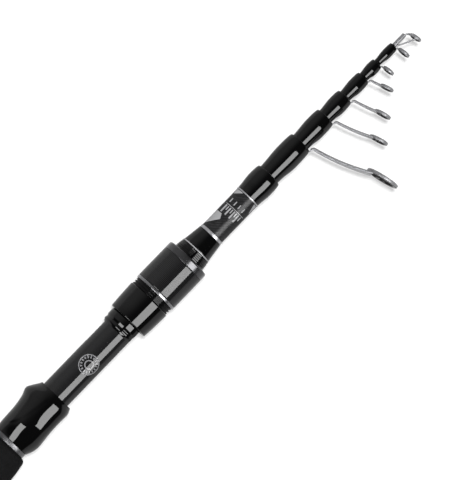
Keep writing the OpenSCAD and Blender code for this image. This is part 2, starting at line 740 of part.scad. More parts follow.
module guide_1_frame() { guide_frame(0); }
module guide_2_frame() { guide_frame(1); }
module guide_3_frame() { guide_frame(2); }
module guide_4_frame() { guide_frame(3); }
module float_guide_1_frame() { guide_frame(4); }
module float_guide_2_frame() { guide_frame(5); }

// Polished ring with a straight land in its bore
module guide_ring(g) {
    bore = ring_id[g] / 2;
    outer = seat_ring_r(g) - glue_gap;
    lip = (outer - bore) / 2;
    color("dimgray") at_ring(g) rotate_extrude() polygon([
        [bore, -ring_land / 2], [bore + lip, -holder_w / 2], [outer, -holder_w / 2],
        [outer, holder_w / 2], [bore + lip, holder_w / 2], [bore, ring_land / 2]
    ]);
}

module guide_1_ring() { guide_ring(0); }
module guide_2_ring() { guide_ring(1); }
module guide_3_ring() { guide_ring(2); }
module guide_4_ring() { guide_ring(3); }
module float_guide_1_ring() { guide_ring(4); }
module float_guide_2_ring() { guide_ring(5); }
module tip_top_ring() { guide_ring(tip_top); }

// Sleeve of a floating guide, bored to seat on its own place of the tip section
module float_sleeve(k) {
    color("slategray") along(float_rear(k)) ring(float_r(k), float_bore(k), float_front(k) - float_rear(k));
}

module float_guide_1_sleeve() { float_sleeve(0); }
module float_guide_2_sleeve() { float_sleeve(1); }

// Two wires from a place on the tube of the tip-top to a place on its ring
module tip_top_wires(x, turn, angle) {
    lean = ring_tilt[tip_top];
    r = ring_r(tip_top) - holder_wall / 2;
    root = tip_tube_r - tip_tube_wall / 2 + tip_leg_d / 2;
    for (side = [-1, 1]) {
        from = [x, -root * cos(turn), side * root * sin(turn)];
        to = ring_at(tip_top) + r * [-cos(angle) * sin(lean), cos(angle) * cos(lean), side * sin(angle)];
        wire(from, to, [-wire_bow * norm(to - from), 0, 0], tip_leg_d);
    }
}

// Tip-top: a tube on the tip, short wires at its front and a brace from its rear
module tip_top_frame() {
    held_ring(tip_top) {
        along(x_tip_tube) ring(tip_tube_r, tip_r + glue_gap, tip_tube_len);
        tip_top_wires(x_tip_tube + tip_leg_d, brace_turn, brace_angle);
        tip_top_wires(x_tip_tube + tip_tube_len - tip_leg_d, wire_turn, wire_angle);
    }
}

butt_blank();
butt_bush();
rear_grip();
rear_winding();
rear_trim_rings();
split_grip_winding();
split_grip_trim_ring();
split_grip();
grip_collar();
seat_body();
seat_arbors();
fixed_hood();
front_collar();
front_trim_line();
front_winding();
front_trim_band();
label_trim_ring();
butt_mouth_wrap();
moving_hood();
slip_ring();
lock_nut();
nut_sleeve();
nut_trim_ring();
nut_bezel();
butt_gasket();
butt_cap();
stack_pad();
section_2_tube();
section_3_tube();
section_4_tube();
section_5_tube();
tip_section();
section_2_wrap();
section_3_wrap();
section_4_wrap();
section_5_wrap();
guide_1_frame();
guide_2_frame();
guide_3_frame();
guide_4_frame();
guide_1_ring();
guide_2_ring();
guide_3_ring();
guide_4_ring();
float_guide_1_sleeve();
float_guide_2_sleeve();
float_guide_1_wrap();
float_guide_2_wrap();
float_guide_1_frame();
float_guide_2_frame();
float_guide_1_ring();
float_guide_2_ring();
tip_top_frame();
tip_top_ring();
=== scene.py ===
"""Looks of a closed telescopic spinning rod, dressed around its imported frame."""
import json
import math
from collections import namedtuple
from functools import cache

import bmesh
import bpy
from mathutils import Matrix, Vector

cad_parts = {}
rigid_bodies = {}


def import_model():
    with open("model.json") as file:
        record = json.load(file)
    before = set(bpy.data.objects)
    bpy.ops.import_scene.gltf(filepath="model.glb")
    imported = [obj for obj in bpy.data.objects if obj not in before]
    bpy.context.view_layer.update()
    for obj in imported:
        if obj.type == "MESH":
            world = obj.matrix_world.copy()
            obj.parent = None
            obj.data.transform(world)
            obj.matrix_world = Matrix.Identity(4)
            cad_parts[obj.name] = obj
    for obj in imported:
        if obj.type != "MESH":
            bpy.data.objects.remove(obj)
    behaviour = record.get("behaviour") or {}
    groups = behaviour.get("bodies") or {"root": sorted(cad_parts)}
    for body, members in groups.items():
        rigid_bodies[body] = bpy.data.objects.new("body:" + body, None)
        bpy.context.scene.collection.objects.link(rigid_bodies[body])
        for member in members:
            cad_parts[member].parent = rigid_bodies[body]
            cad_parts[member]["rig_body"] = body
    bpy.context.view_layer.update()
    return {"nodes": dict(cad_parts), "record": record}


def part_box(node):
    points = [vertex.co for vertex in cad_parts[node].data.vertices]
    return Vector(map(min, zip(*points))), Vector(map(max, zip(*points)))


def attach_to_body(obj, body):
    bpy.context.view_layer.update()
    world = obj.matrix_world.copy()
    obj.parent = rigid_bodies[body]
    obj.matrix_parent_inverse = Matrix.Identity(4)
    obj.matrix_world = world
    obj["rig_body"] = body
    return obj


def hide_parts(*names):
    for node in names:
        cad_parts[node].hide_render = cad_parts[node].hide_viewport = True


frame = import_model()
nodes = frame["nodes"]
scene = bpy.context.scene

# Lengths are metres, most as millimetres times MM; angles about the rod run from -Y over +Z to +Y
MM = 0.001
GLUE = 0.03 * MM
TURN = 2 * math.pi
slot_of = {part["node"]: part["material_slot"] for part in frame["record"]["subparts"]}


# Finishes

def add_node(tree, kind, inputs, **settings):
    """Shader node with a value or a link at each listed input."""
    made = tree.nodes.new("ShaderNode" + kind)
    for key, value in settings.items():
        setattr(made, key, value)
    for socket, value in inputs.items():
        if isinstance(value, bpy.types.NodeSocket):
            tree.links.new(value, made.inputs[socket])
        else:
            made.inputs[socket].default_value = value
    return made


class Finish:
    """Principled material whose patterns follow the piece's own coordinates."""

    def __init__(self, name, sockets):
        self.material = bpy.data.materials.new(name)
        self.material.use_nodes = True
        self.tree = self.material.node_tree
        self.shader = self.tree.nodes["Principled BSDF"]
        for socket, value in sockets.items():
            self.shader.inputs[socket].default_value = value

    def node(self, kind, inputs, **settings):
        return add_node(self.tree, kind, inputs, **settings)

    def calc(self, operation, first, second=0.0):
        return self.node("Math", {0: first, 1: second}, operation=operation).outputs[0]

    def place(self):
        """Distance along the rod in metres and the turn about it from 0 to 1."""
        spot = self.node("TexCoord", {}).outputs["Object"]
        split = self.node("SeparateXYZ", {0: spot}).outputs
        angle = self.calc("ARCTAN2", split["Z"], split["Y"])
        return split["X"], self.calc("DIVIDE", angle, TURN)

    def noise(self, cell, detail=3.0):
        """Noise with cells of the given size."""
        spot = self.node("TexCoord", {}).outputs["Object"]
        inputs = {"Vector": spot, "Scale": 1 / cell, "Detail": detail}
        return self.node("TexNoise", inputs).outputs["Fac"]

    def wave(self, count):
        """Sine of a number of waves, from 0 to 1."""
        angle = self.calc("MULTIPLY", count, TURN)
        half = self.calc("MULTIPLY", self.calc("SINE", angle), 0.5)
        return self.calc("ADD", half, 0.5)

    def ridges(self, pitch):
        """Ridges round the rod at the given pitch."""
        along, _ = self.place()
        return self.wave(self.calc("DIVIDE", along, pitch))

    def twill(self, tow, count):
        """Tows that all slant one way round the rod, unevenly bright."""
        along, turn = self.place()
        slant = self.calc("SUBTRACT", self.calc("DIVIDE", along, tow), self.calc("MULTIPLY", turn, count))
        return self.calc("MULTIPLY", self.wave(slant), self.noise(1.5 * tow))

    def weave(self, tow, count):
        """Crossing tows laid slantwise along and round the rod."""
        along, turn = self.place()
        forth = self.calc("DIVIDE", along, tow)
        around = self.calc("MULTIPLY", turn, count)
        left = self.calc("SINE", self.calc("MULTIPLY", self.calc("ADD", forth, around), math.pi))
        right = self.calc("SINE", self.calc("MULTIPLY", self.calc("SUBTRACT", forth, around), math.pi))
        cross = self.calc("MULTIPLY", self.calc("MULTIPLY", left, right), 0.5)
        return self.calc("ADD", cross, 0.5)

    def color(self, factor, dark, light, low=0.0, high=1.0):
        ramp = self.node("ValToRGB", {"Fac": factor})
        first, final = ramp.color_ramp.elements
        first.position, first.color = low, (*dark, 1)
        final.position, final.color = high, (*light, 1)
        self.tree.links.new(ramp.outputs["Color"], self.shader.inputs["Base Color"])

    def mottle(self, noise, dark, light):
        """Colour that follows a noise over the range that most of it lies in."""
        self.color(noise, dark, light, low=0.3, high=0.7)

    def roughness(self, factor, low, high):
        spread = self.node("MapRange", {"Value": factor, "To Min": low, "To Max": high})
        self.tree.links.new(spread.outputs[0], self.shader.inputs["Roughness"])

    def bump(self, height, distance, strength):
        inputs = {"Height": height, "Distance": distance, "Strength": strength}
        self.tree.links.new(self.node("Bump", inputs).outputs[0], self.shader.inputs["Normal"])


# Clear gloss over a dull base
VARNISH = {"Specular IOR Level": 0.0, "Coat Weight": 0.55, "Coat Roughness": 0.03, "Coat IOR": 1.48}
COOL_TINT = 1.04


def grey(value):
    return (value, value, value * COOL_TINT)


def satin_carbon():
    """Slanted carbon tows of the blank and sections, under a thin satin varnish."""
    made = Finish("carbon_satin", {**VARNISH, "Coat Weight": 0.3, "Coat Roughness": 0.28})
    tows = made.twill(tow=1.1 * MM, count=36)
    made.color(tows, grey(0.006), grey(0.05), low=0.1, high=0.75)
    made.roughness(made.noise(0.6 * MM), low=0.34, high=0.5)
    made.bump(tows, distance=0.02 * MM, strength=0.5)
    return made.material


def gloss_carbon():
    """Woven carbon of the nut's sleeve under clear gloss."""
    made = Finish("carbon_gloss", {**VARNISH, "Coat Roughness": 0.05})
    weave = made.weave(tow=0.7 * MM, count=100)
    made.mottle(weave, grey(0.005), grey(0.016))
    made.roughness(made.noise(0.6 * MM), low=0.34, high=0.5)
    made.bump(weave, distance=0.02 * MM, strength=0.5)
    return made.material


def thread_finish():
    """Black winding thread under clear epoxy."""
    made = Finish("thread_epoxy", VARNISH)
    thread = made.ridges(pitch=0.3 * MM)
    made.color(thread, grey(0.001), grey(0.003))
    made.roughness(made.noise(0.8 * MM), low=0.4, high=0.55)
    made.bump(thread, distance=0.05 * MM, strength=0.6)
    return made.material


def foam_finish():
    """Closed-cell foam, ground smooth, with open cells at its surface."""
    made = Finish("eva_foam_look", {"Specular IOR Level": 0.03})
    cells = made.noise(0.35 * MM, detail=5.0)
    made.mottle(cells, grey(0.003), grey(0.008))
    made.roughness(made.noise(2.5 * MM), low=0.72, high=0.88)
    made.bump(cells, distance=0.12 * MM, strength=0.7)
    return made.material


def turned_metal(name, value, roughness, metallic=1.0):
    """Metal with fine turning marks."""
    made = Finish(name, {"Metallic": metallic})
    marks = made.ridges(pitch=0.12 * MM)
    smudge = made.noise(2 * MM)
    made.mottle(smudge, grey(value * 0.86), grey(value))
    made.roughness(smudge, low=roughness * 0.8, high=roughness * 1.3)
    made.bump(marks, distance=0.004 * MM, strength=0.4)
    return made.material


def moulded(name, value, roughness, grain, coat=VARNISH["Coat Weight"]):
    """Moulded plastic with a faint grain under its gloss."""
    made = Finish(name, {**VARNISH, "Coat Weight": coat})
    speck = made.noise(grain, detail=4.0)
    made.mottle(speck, grey(value * 0.75), grey(value * 1.25))
    made.roughness(made.noise(3 * MM), low=roughness * 0.85, high=roughness * 1.15)
    made.bump(speck, distance=0.02 * MM, strength=0.35)
    return made.material


def steel_finish():
    """Stamped stainless steel, tumbled bright."""
    made = Finish("bright_steel", {"Metallic": 0.55})
    scuff = made.noise(0.9 * MM, detail=4.0)
    made.mottle(scuff, grey(0.19), grey(0.26))
    made.roughness(scuff, low=0.38, high=0.5)
    made.bump(made.noise(0.25 * MM), distance=0.01 * MM, strength=0.3)
    return made.material


def print_finish(name, color):
    """Printed ink under the varnish, with faint speckle."""
    made = Finish(name, VARNISH)
    speck = made.noise(0.4 * MM)
    made.mottle(speck, [0.9 * c for c in color], color)
    made.roughness(speck, low=0.4, high=0.55)
    return made.material


def board_finish():
    """Pressed paper board of the arbors."""
    made = Finish("arbor_look", {"Specular IOR Level": 0.2})
    fibre = made.noise(0.5 * MM, detail=6.0)
    made.mottle(fibre, (0.42, 0.33, 0.21), (0.62, 0.52, 0.37))
    made.roughness(fibre, low=0.75, high=0.95)
    made.bump(fibre, distance=0.06 * MM, strength=0.6)
    return made.material


PALE_INK = (0.38, 0.38, 0.39)
looks = {
    "carbon_blank": satin_carbon(),
    "eva_foam": foam_finish(),
    "epoxy_wrap": thread_finish(),
    "silver_trim": turned_metal("silver_look", value=0.32, roughness=0.3, metallic=0.4),
    "grey_trim": turned_metal("grey_look", value=0.08, roughness=0.34, metallic=0.8),
    "seat_graphite": moulded("graphite_gloss", value=0.002, roughness=0.4, grain=0.3 * MM),
    "slip_black": moulded("slip_look", value=0.004, roughness=0.5, grain=0.3 * MM, coat=0.2),
    "nut_carbon": gloss_carbon(),
    "arbor_board": board_finish(),
    "cap_black": moulded("cap_look", value=0.008, roughness=0.45, grain=0.5 * MM, coat=0.2),
    "bush_metal": turned_metal("bush_look", value=0.5, roughness=0.3),
    "seal_rubber": moulded("rubber_look", value=0.008, roughness=0.75, grain=0.4 * MM, coat=0.0),
    "guide_steel": steel_finish(),
    "guide_ceramic": moulded("ceramic_look", value=0.035, roughness=0.2, grain=0.2 * MM),
}
bezel_look = turned_metal("bezel_look", value=0.055, roughness=0.22, metallic=0.8)
dark_chrome = turned_metal("dark_chrome", value=0.16, roughness=0.22, metallic=0.8)
seat_grain = moulded("seat_grain", value=0.012, roughness=0.4, grain=0.4 * MM)
pale_print = print_finish("pale_print", PALE_INK)
badge_ink = print_finish("badge_ink", (0.25, 0.25, 0.26))
badge_print = moulded("badge_face", value=0.006, roughness=0.3, grain=0.4 * MM)


# Meshes

def span(node):
    """First and last station and largest radius of a node that is centred on the rod."""
    low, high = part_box(node)
    return low.x, high.x, max(high.y, high.z)


_, _, blank_r = span("butt_blank")
# Share of a side that one fillet may take
FILLET_REACH = 0.48


def add_object(name, data):
    """Object of the scene with the given data."""
    made = bpy.data.objects.new(name, data)
    scene.collection.objects.link(made)
    return made


def mesh_object(name, points, faces, sharp=35):
    """Mesh object, smooth but for edges sharper than the given degrees."""
    mesh = bpy.data.meshes.new(name)
    mesh.from_pydata(points, [], faces)
    body = bmesh.new()
    body.from_mesh(mesh)
    bmesh.ops.recalc_face_normals(body, faces=body.faces)
    body.to_mesh(mesh)
    body.free()
    mesh.shade_smooth()
    mesh.set_sharp_from_angle(angle=math.radians(sharp))
    return add_object(name, mesh)


def on_rod(x, radius, angle):
    return (x, -radius * math.cos(angle), radius * math.sin(angle))


def ring_faces(rings, count, closed):
    """Faces between neighbouring rings of count points; closed joins the last ring to the first."""
    faces = []
    for j in range(rings if closed else rings - 1):
        k = (j + 1) % rings
        for i in range(count):
            h = (i + 1) % count
            faces.append((j * count + i, j * count + h, k * count + h, k * count + i))
    return faces


def turned(name, outline, sides=96, shape=None, sharp=35, gap=0.0):
    """Closed outline of (x, r) turned about the rod, but for a gap of that angle at -Y.

    shape(x, r, angle) may change a radius.
    """
    count = len(outline)
    rings = sides + 1 if gap else sides
    points = []
    for j in range(rings):
        angle = gap / 2 + (TURN - gap) * j / sides
        for x, r in outline:
            points.append(on_rod(x, shape(x, r, angle) if shape else r, angle))
    faces = ring_faces(rings, count, closed=not gap)
    if gap:
        faces.append(list(range(count)))
        faces.append(list(range(sides * count, sides * count + count)))
    return mesh_object(name, points, faces, sharp)


def lofted(name, sections):
    """Closed mesh through sections of the same number of points."""
    count = len(sections[0])
    points = [spot for section in sections for spot in section]
    ends = [list(range(count)), list(range(len(points) - count, len(points)))]
    return mesh_object(name, points, ends + ring_faces(len(sections), count, closed=False))


def rounded(corners, steps=5):
    """Closed outline from (x, r, fillet) corners, each rounded by its fillet."""
    outline = []
    count = len(corners)
    for i, (x, r, fillet) in enumerate(corners):
        if fillet <= 0:
            outline.append((x, r))
            continue
        here = Vector((x, r))
        before = Vector(corners[i - 1][:2]) - here
        after = Vector(corners[(i + 1) % count][:2]) - here
        room = FILLET_REACH * min(before.length, after.length)
        reach = min(fillet / math.tan(before.angle(after) / 2), room)
        start = here + before.normalized() * reach
        end = here + after.normalized() * reach
        for k in range(steps + 1):
            t = k / steps
            point = start * (1 - t) ** 2 + here * 2 * t * (1 - t) + end * t ** 2
            outline.append((point.x, point.y))
    return outline


def curved(x0, x1, edge, radius_at, bore, steps=48):
    """Closed outline with rounded ends along a radius given by the share of the length."""
    length = x1 - x0
    arc = [math.radians(a) for a in range(0, 91, 15)]
    stations = [(edge * (1 - math.cos(a)), edge * (1 - math.sin(a))) for a in arc]
    stations += [(edge + (length - 2 * edge) * k / steps, 0) for k in range(1, steps)]
    stations += [(length - edge * (1 - math.cos(a)), edge * (1 - math.sin(a))) for a in reversed(arc)]
    outer = [(x0 + z, radius_at(z / length) - drop) for z, drop in stations]
    return [(x0, bore)] + outer + [(x1, bore)]


def place(piece, node, look=None):
    """Puts a finished piece in the place of a node, on that node's body."""
    piece.data.materials.append(look or looks[slot_of[node]])
    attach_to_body(piece, nodes[node]["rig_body"])
    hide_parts(node)
    return piece


def attach(piece, node, look):
    """Adds a piece that has no node of its own to the body of a node."""
    piece.data.materials.append(look)
    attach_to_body(piece, nodes[node]["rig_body"])


def place_joined(parts, node):
    """One piece from several, in the place of a node."""
    with bpy.context.temp_override(active_object=parts[0], selected_editable_objects=parts):
        bpy.ops.object.join()
    place(parts[0], node)


def sleeve(name, node, fillet=0.0, outer=None, bore=None, look=None):
    """Rounded ring in the place of a node; outer lists (x, r, fillet) corners other than its own."""
    x0, x1, r = span(node)
    inner = bore or blank_r + GLUE
    corners = outer or [(x0, r, fillet), (x1, r, fillet)]
    place(turned(name, rounded([(x0, inner, 0)] + corners + [(x1, inner, 0)])), node, look)


def ease(t):
    """Smooth step from 0 to 1."""
    t = min(max(t, 0.0), 1.0)
    return t * t * (3 - 2 * t)


# Grips

FOAM_EDGE = 1.6 * MM
REAR_GRIP_FRONT_R = 9.4 * MM
REAR_GRIP_FLARE = 2.2
SPLIT_GRIP_REAR_R = 8.9 * MM
SPLIT_GRIP_FRONT_R = 10.7 * MM
SPLIT_GRIP_PEAK = 0.62


def foam_grip(name, node, radius_at):
    """Foam grip with rounded ends, glued on the blank."""
    x0, x1, _ = span(node)
    piece = turned(name, curved(x0, x1, FOAM_EDGE, radius_at, blank_r + GLUE), sides=128)
    place(piece, node)


def rear_grip_radius(t):
    """Radius that falls from the flared butt end, at a share of the grip's length."""
    r = span("rear_grip")[2]
    return r - (r - REAR_GRIP_FRONT_R) * t ** REAR_GRIP_FLARE


def split_grip_radius(t):
    """Radius that swells in front of the middle, at a share of the grip's length."""
    r = span("split_grip")[2]
    if t < SPLIT_GRIP_PEAK:
        return r - (r - SPLIT_GRIP_REAR_R) * (1 - t / SPLIT_GRIP_PEAK) ** 2
    return r - (r - SPLIT_GRIP_FRONT_R) * ((t - SPLIT_GRIP_PEAK) / (1 - SPLIT_GRIP_PEAK)) ** 2


foam_grip("foam_rear_grip", "rear_grip", rear_grip_radius)
foam_grip("foam_split_grip", "split_grip", split_grip_radius)


# Windings, trim rings and wraps

WRAP_EDGE = 0.12 * MM
WRAP_PEAK = 0.57
WRAP_STEPS = 40
NOSE_DROP = 2.6
FOOT_HUMP = 0.3 * MM
FOOT_HALF_ANGLE = 0.55
FOOT_START = 0.15
FOOT_RISE = 0.3
WINDING_EDGE = 0.08 * MM
LINE_FILLET = 0.2 * MM
RING_FILLET = 0.3 * MM


def wrap_outline(node, tube_r):
    """Wrap that swells from a thin edge and ends in a rounded nose."""
    x0, x1, r = span(node)
    outline = [(x0, tube_r + GLUE)]
    for k in range(WRAP_STEPS + 1):
        t = k / WRAP_STEPS
        if t < WRAP_PEAK:
            share = ease(t / WRAP_PEAK)
        else:
            share = (1 - ((t - WRAP_PEAK) / (1 - WRAP_PEAK)) ** NOSE_DROP) ** 0.5
        outline.append((x0 + (x1 - x0) * t, tube_r + WRAP_EDGE + (r - tube_r - WRAP_EDGE) * share))
    outline.append((x1, tube_r + GLUE))
    return outline


def guide_wrap(name, node, tube_r):
    """Wrap with the hump of the guide foot that it binds."""
    x0, x1, _ = span(node)

    def shape(x, radius, angle):
        if radius < tube_r + WRAP_EDGE / 2:
            return radius
        off = min(angle, TURN - angle) / FOOT_HALF_ANGLE
        along = ease(((x - x0) / (x1 - x0) - FOOT_START) / FOOT_RISE)
        return radius + FOOT_HUMP * along * (1 - ease(off))

    place(turned(name, wrap_outline(node, tube_r), shape=shape), node)


def tapered(name, node, rear_r, front_r):
    """Winding that thins from one end to the other."""
    x0, x1, _ = span(node)
    outline = curved(x0, x1, WINDING_EDGE, lambda t: rear_r + (front_r - rear_r) * t, blank_r + GLUE)
    place(turned(name, outline), node)


def ring_pair(name, node, length):
    """Two rings at the ends of a node's stretch."""
    x0, x1, r = span(node)
    inner = blank_r + GLUE
    halves = []
    for start in (x0, x1 - length):
        end = start + length
        corners = [(start, inner, 0), (start, r, RING_FILLET), (end, r, RING_FILLET), (end, inner, 0)]
        halves.append(turned(name, rounded(corners)))
    place_joined(halves, node)


ring_pair("rear_silver_rings", "rear_trim_rings", length=0.9 * MM)
tapered("rear_thread", "rear_winding", rear_r=blank_r + 1.0 * MM, front_r=blank_r + 0.7 * MM)
tapered("split_thread", "split_grip_winding", rear_r=blank_r + 0.3 * MM, front_r=blank_r + 1.3 * MM)
sleeve("split_silver_ring", "split_grip_trim_ring", RING_FILLET)
sleeve("grey_collar", "grip_collar", fillet=0.5 * MM)
sleeve("front_silver_line", "front_trim_line", LINE_FILLET, look=pale_print)
tapered("front_thread", "front_winding", rear_r=span("front_winding")[2], front_r=blank_r + 0.3 * MM)
sleeve("front_silver_band", "front_trim_band", LINE_FILLET)
sleeve("label_silver_ring", "label_trim_ring", LINE_FILLET)
place(turned("mouth_thread", wrap_outline("butt_mouth_wrap", blank_r)), "butt_mouth_wrap")

# Station and radius at which each guide's leg leaves its foot
feet = {}
for n in range(2, 6):
    tube = f"section_{n}_tube"
    _, rim_x, _ = span(tube)
    neck_r = max(v.co.z for v in nodes[tube].data.vertices if v.co.x > rim_x - 0.01 * MM)
    guide_wrap(f"section_{n}_thread", f"section_{n}_wrap", neck_r)
    feet[f"guide_{n - 1}"] = (rim_x, neck_r)
for n in (1, 2):
    _, front_x, sleeve_r = span(f"float_guide_{n}_sleeve")
    guide_wrap(f"float_{n}_thread", f"float_guide_{n}_wrap", sleeve_r)
    feet[f"float_guide_{n}"] = (front_x, sleeve_r)


# Reel seat

seat_x0, seat_x1, seat_r = span("seat_body")
hood_x0, hood_x1, _ = span("fixed_hood")
mover_x0, mover_x1, mover_r = span("moving_hood")
_, _, core_r = span("lock_nut")
SEAT_BORE = seat_r - 1.3 * MM
BED_DEPTH = 0.5 * MM
KEYWAY_DEPTH = 0.6 * MM
KEYWAY_HALF = 1.28 * MM
KEY_W = 2.4 * MM
KEY_ROOT = 0.3 * MM
# Stations at which the pockets for the reel foot end and the keyway starts
fixed_pocket_x = hood_x1 - 14 * MM
moving_pocket_x = mover_x0 + 13 * MM
keyway_x = mover_x0 - 12.1 * MM
POCKET_H = 1.2 * MM
POCKET_ANGLE = math.radians(70)
# Half the length over which a pocket, bed or keyway starts
STEP = 0.02 * MM
RUN_GAP = 0.08 * MM
NECK_R = seat_r + 1.2 * MM
SEAT_THREAD_X = mover_x0 + 8 * MM
SEAT_PITCH = 2.0 * MM
SEAT_THREAD_DEPTH = 0.45 * MM
THREAD_SLOPE = 1.6
STATIONS_PER_TURN = 8
BEZEL_ROUND = 1.7 * MM
BEZEL_DROP = 2.1 * MM
COLLAR_FALL = 0.45 * MM
RIBS = 5
RIB_FILLET = 0.15 * MM
RIB_GROOVE = 0.3 * MM
# Shares of a rib's pitch at which its crest starts and ends and its groove is deepest
RIB_SHARES = (0.15, 0.75, 0.9)


def thread_groove(x, angle, pitch, depth):
    """Depth of a right-hand thread at a station and angle."""
    phase = (x / pitch - angle / TURN) % 1
    return depth * (1 - ease(abs(2 * phase - 1) * THREAD_SLOPE))


def seat_shape(x, r, angle):
    """Seat tube with a flat bed at -Y, a keyway at +Y and a thread in front."""
    if r == SEAT_BORE:
        return r
    radius = r
    if x > SEAT_THREAD_X:
        radius -= thread_groove(x, angle, SEAT_PITCH, SEAT_THREAD_DEPTH)
    if fixed_pocket_x < x < moving_pocket_x and math.cos(angle) > 0:
        radius = min(radius, (seat_r - BED_DEPTH) / math.cos(angle))
    keyed = math.cos(angle) < 0 and abs(seat_r * math.sin(angle)) < KEYWAY_HALF
    if x > keyway_x and keyed:
        radius = min(radius, seat_r - KEYWAY_DEPTH)
    return radius


def seat_stations():
    """Stations along the seat tube, close together where it is threaded."""
    marks = [seat_x0, seat_x1]
    for edge in (fixed_pocket_x, keyway_x, moving_pocket_x):
        marks += [edge - STEP, edge + STEP]
    x = SEAT_THREAD_X
    while x < seat_x1:
        marks.append(x)
        x += SEAT_PITCH / STATIONS_PER_TURN
    return sorted(marks)


seat_outline = [(x, seat_r) for x in seat_stations()]
seat_outline += [(seat_x1, SEAT_BORE), (seat_x0, SEAT_BORE)]
place(turned("seat_tube", seat_outline, sides=192, shape=seat_shape), "seat_body", seat_grain)

# Radii of the sculpted hood in millimetres, at shares of its length, from +Y round to -Y
HOOD_ANGLES = (0, 45, 70, 90, 120, 150, 180)
HOOD_STATIONS = (
    (0.0, 9.5, 9.3, 8.85, 9.0, 9.2, 9.4, 9.0),
    (0.08, 9.9, 9.55, 9.3, 9.35, 9.55, 9.85, 10.3),
    (0.2, 10.0, 9.95, 10.1, 9.95, 10.0, 10.45, 11.1),
    (0.34, 10.05, 10.35, 10.55, 10.4, 10.6, 10.85, 10.75),
    (0.45, 10.3, 10.55, 10.6, 10.4, 11.0, 11.0, 10.3),
    (0.54, 10.7, 10.75, 10.65, 10.55, 10.75, 10.9, 10.05),
    (0.65, 11.4, 11.05, 10.75, 10.65, 10.65, 10.8, 9.95),
    (0.76, 12.8, 11.35, 10.8, 10.7, 10.7, 10.8, 9.9),
    (0.86, 11.3, 11.25, 10.9, 10.65, 10.75, 10.8, 10.1),
    (0.93, 10.0, 9.9, 9.9, 9.9, 10.0, 10.1, 10.1),
    (1.0, 8.7, 8.7, 8.7, 8.7, 8.8, 8.9, 8.9),
)
HOOD_STEPS = 90
# Radius in the hood's outline that stands for its sculpted outside
SCULPTED_R = seat_r + 1 * MM
# Steps to both sides over which the hood's radii are averaged
EVEN_SHARES = (-0.03, 0, 0.03)
EVEN_DEGREES = (-7, 0, 7)
LAST_DEGREES = 179.9
# Crease of the palm facet: its line in degrees from +Y at shares of the length, and where it fades
CREASE_SHARES = (0, 0.12, 0.26, 0.42, 0.6, 0.85, 1)
CREASE_DEGREES = (10, 32, 58, 69, 76, 82, 84)
CREASE_H = 0.12 * MM
CREASE_W = 10
CREASE_START, CREASE_FADE_IN = 0.08, 0.2
CREASE_END, CREASE_FADE_OUT = 0.9, 0.12


def spline(keys, values, t):
    """Smooth curve through values at rising keys."""
    k = max(i for i in range(len(keys) - 1) if keys[i] <= t or i == 0)
    before, after = max(k - 1, 0), min(k + 2, len(keys) - 1)
    width = keys[k + 1] - keys[k]
    u = (t - keys[k]) / width
    rise = (values[k + 1] - values[before]) / (keys[k + 1] - keys[before]) * width
    fall = (values[after] - values[k]) / (keys[after] - keys[k]) * width
    return (
        values[k] * (1 + 2 * u) * (1 - u) ** 2 + values[k + 1] * (3 - 2 * u) * u * u
        + rise * u * (1 - u) ** 2 - fall * u * u * (1 - u)
    )


@cache
def hood_ring(t):
    """Radii at the listed angles at a share of the hood, evened out along the rod."""
    keys, *columns = zip(*HOOD_STATIONS)
    shares = [min(max(t + step, 0), 1) for step in EVEN_SHARES]
    return [sum(spline(keys, column, share) for share in shares) / len(shares) for column in columns]


def hood_radius(t, angle):
    """Sculpted radius at a share of the hood, at an angle from +Y, with the crease of the palm facet."""
    degrees = math.degrees(math.acos(math.cos(angle)))
    turns = [min(abs(degrees + step), 360 - degrees - step, LAST_DEGREES) for step in EVEN_DEGREES]
    radius = sum(spline(HOOD_ANGLES, hood_ring(t), turn) for turn in turns) / len(turns)
    crease = spline(CREASE_SHARES, CREASE_DEGREES, t)
    facet = ease((crease - degrees) / CREASE_W + 0.5)
    facet *= ease((t - CREASE_START) / CREASE_FADE_IN) * ease((CREASE_END - t) / CREASE_FADE_OUT)
    return radius * MM + CREASE_H * facet


def hood_shape(x, r, angle):
    """Sculpted outside of the fixed hood, and its bore with the pocket for the reel foot."""
    if r == SCULPTED_R:
        return hood_radius((x - hood_x0) / (hood_x1 - hood_x0), angle - math.pi)
    off = min(angle, TURN - angle)
    if x > fixed_pocket_x and off < POCKET_ANGLE / 2:
        return seat_r + POCKET_H
    return r


def fixed_hood():
    """Sculpted hood on the seat tube, with its swell for the palm."""
    outline = []
    for k in range(HOOD_STEPS + 1):
        outline.append((hood_x0 + (hood_x1 - hood_x0) * k / HOOD_STEPS, SCULPTED_R))
    for x in (hood_x1, fixed_pocket_x + STEP, fixed_pocket_x - STEP, hood_x0):
        outline.append((x, seat_r + GLUE))
    place(turned("sculpted_hood", outline, sides=180, shape=hood_shape, sharp=50), "fixed_hood")


def hood_key(front, run):
    """Bevelled bar inside the moving hood that slides in the keyway."""
    low = seat_r - KEYWAY_DEPTH + RUN_GAP
    size = Vector((front - mover_x0, run + KEY_ROOT - low, KEY_W))
    centre = Vector((mover_x0 + size.x / 2, low + size.y / 2, 0))
    key = bmesh.new()
    bmesh.ops.create_cube(key, size=1)
    for vertex in key.verts:
        vertex.co = centre + Vector(a * b for a, b in zip(vertex.co, size))
    bmesh.ops.bevel(key, geom=key.edges, offset=0.15 * MM, segments=2, affect="EDGES")
    mesh = bpy.data.meshes.new("sliding_hood_key")
    key.to_mesh(mesh)
    key.free()
    return add_object("sliding_hood_key", mesh)


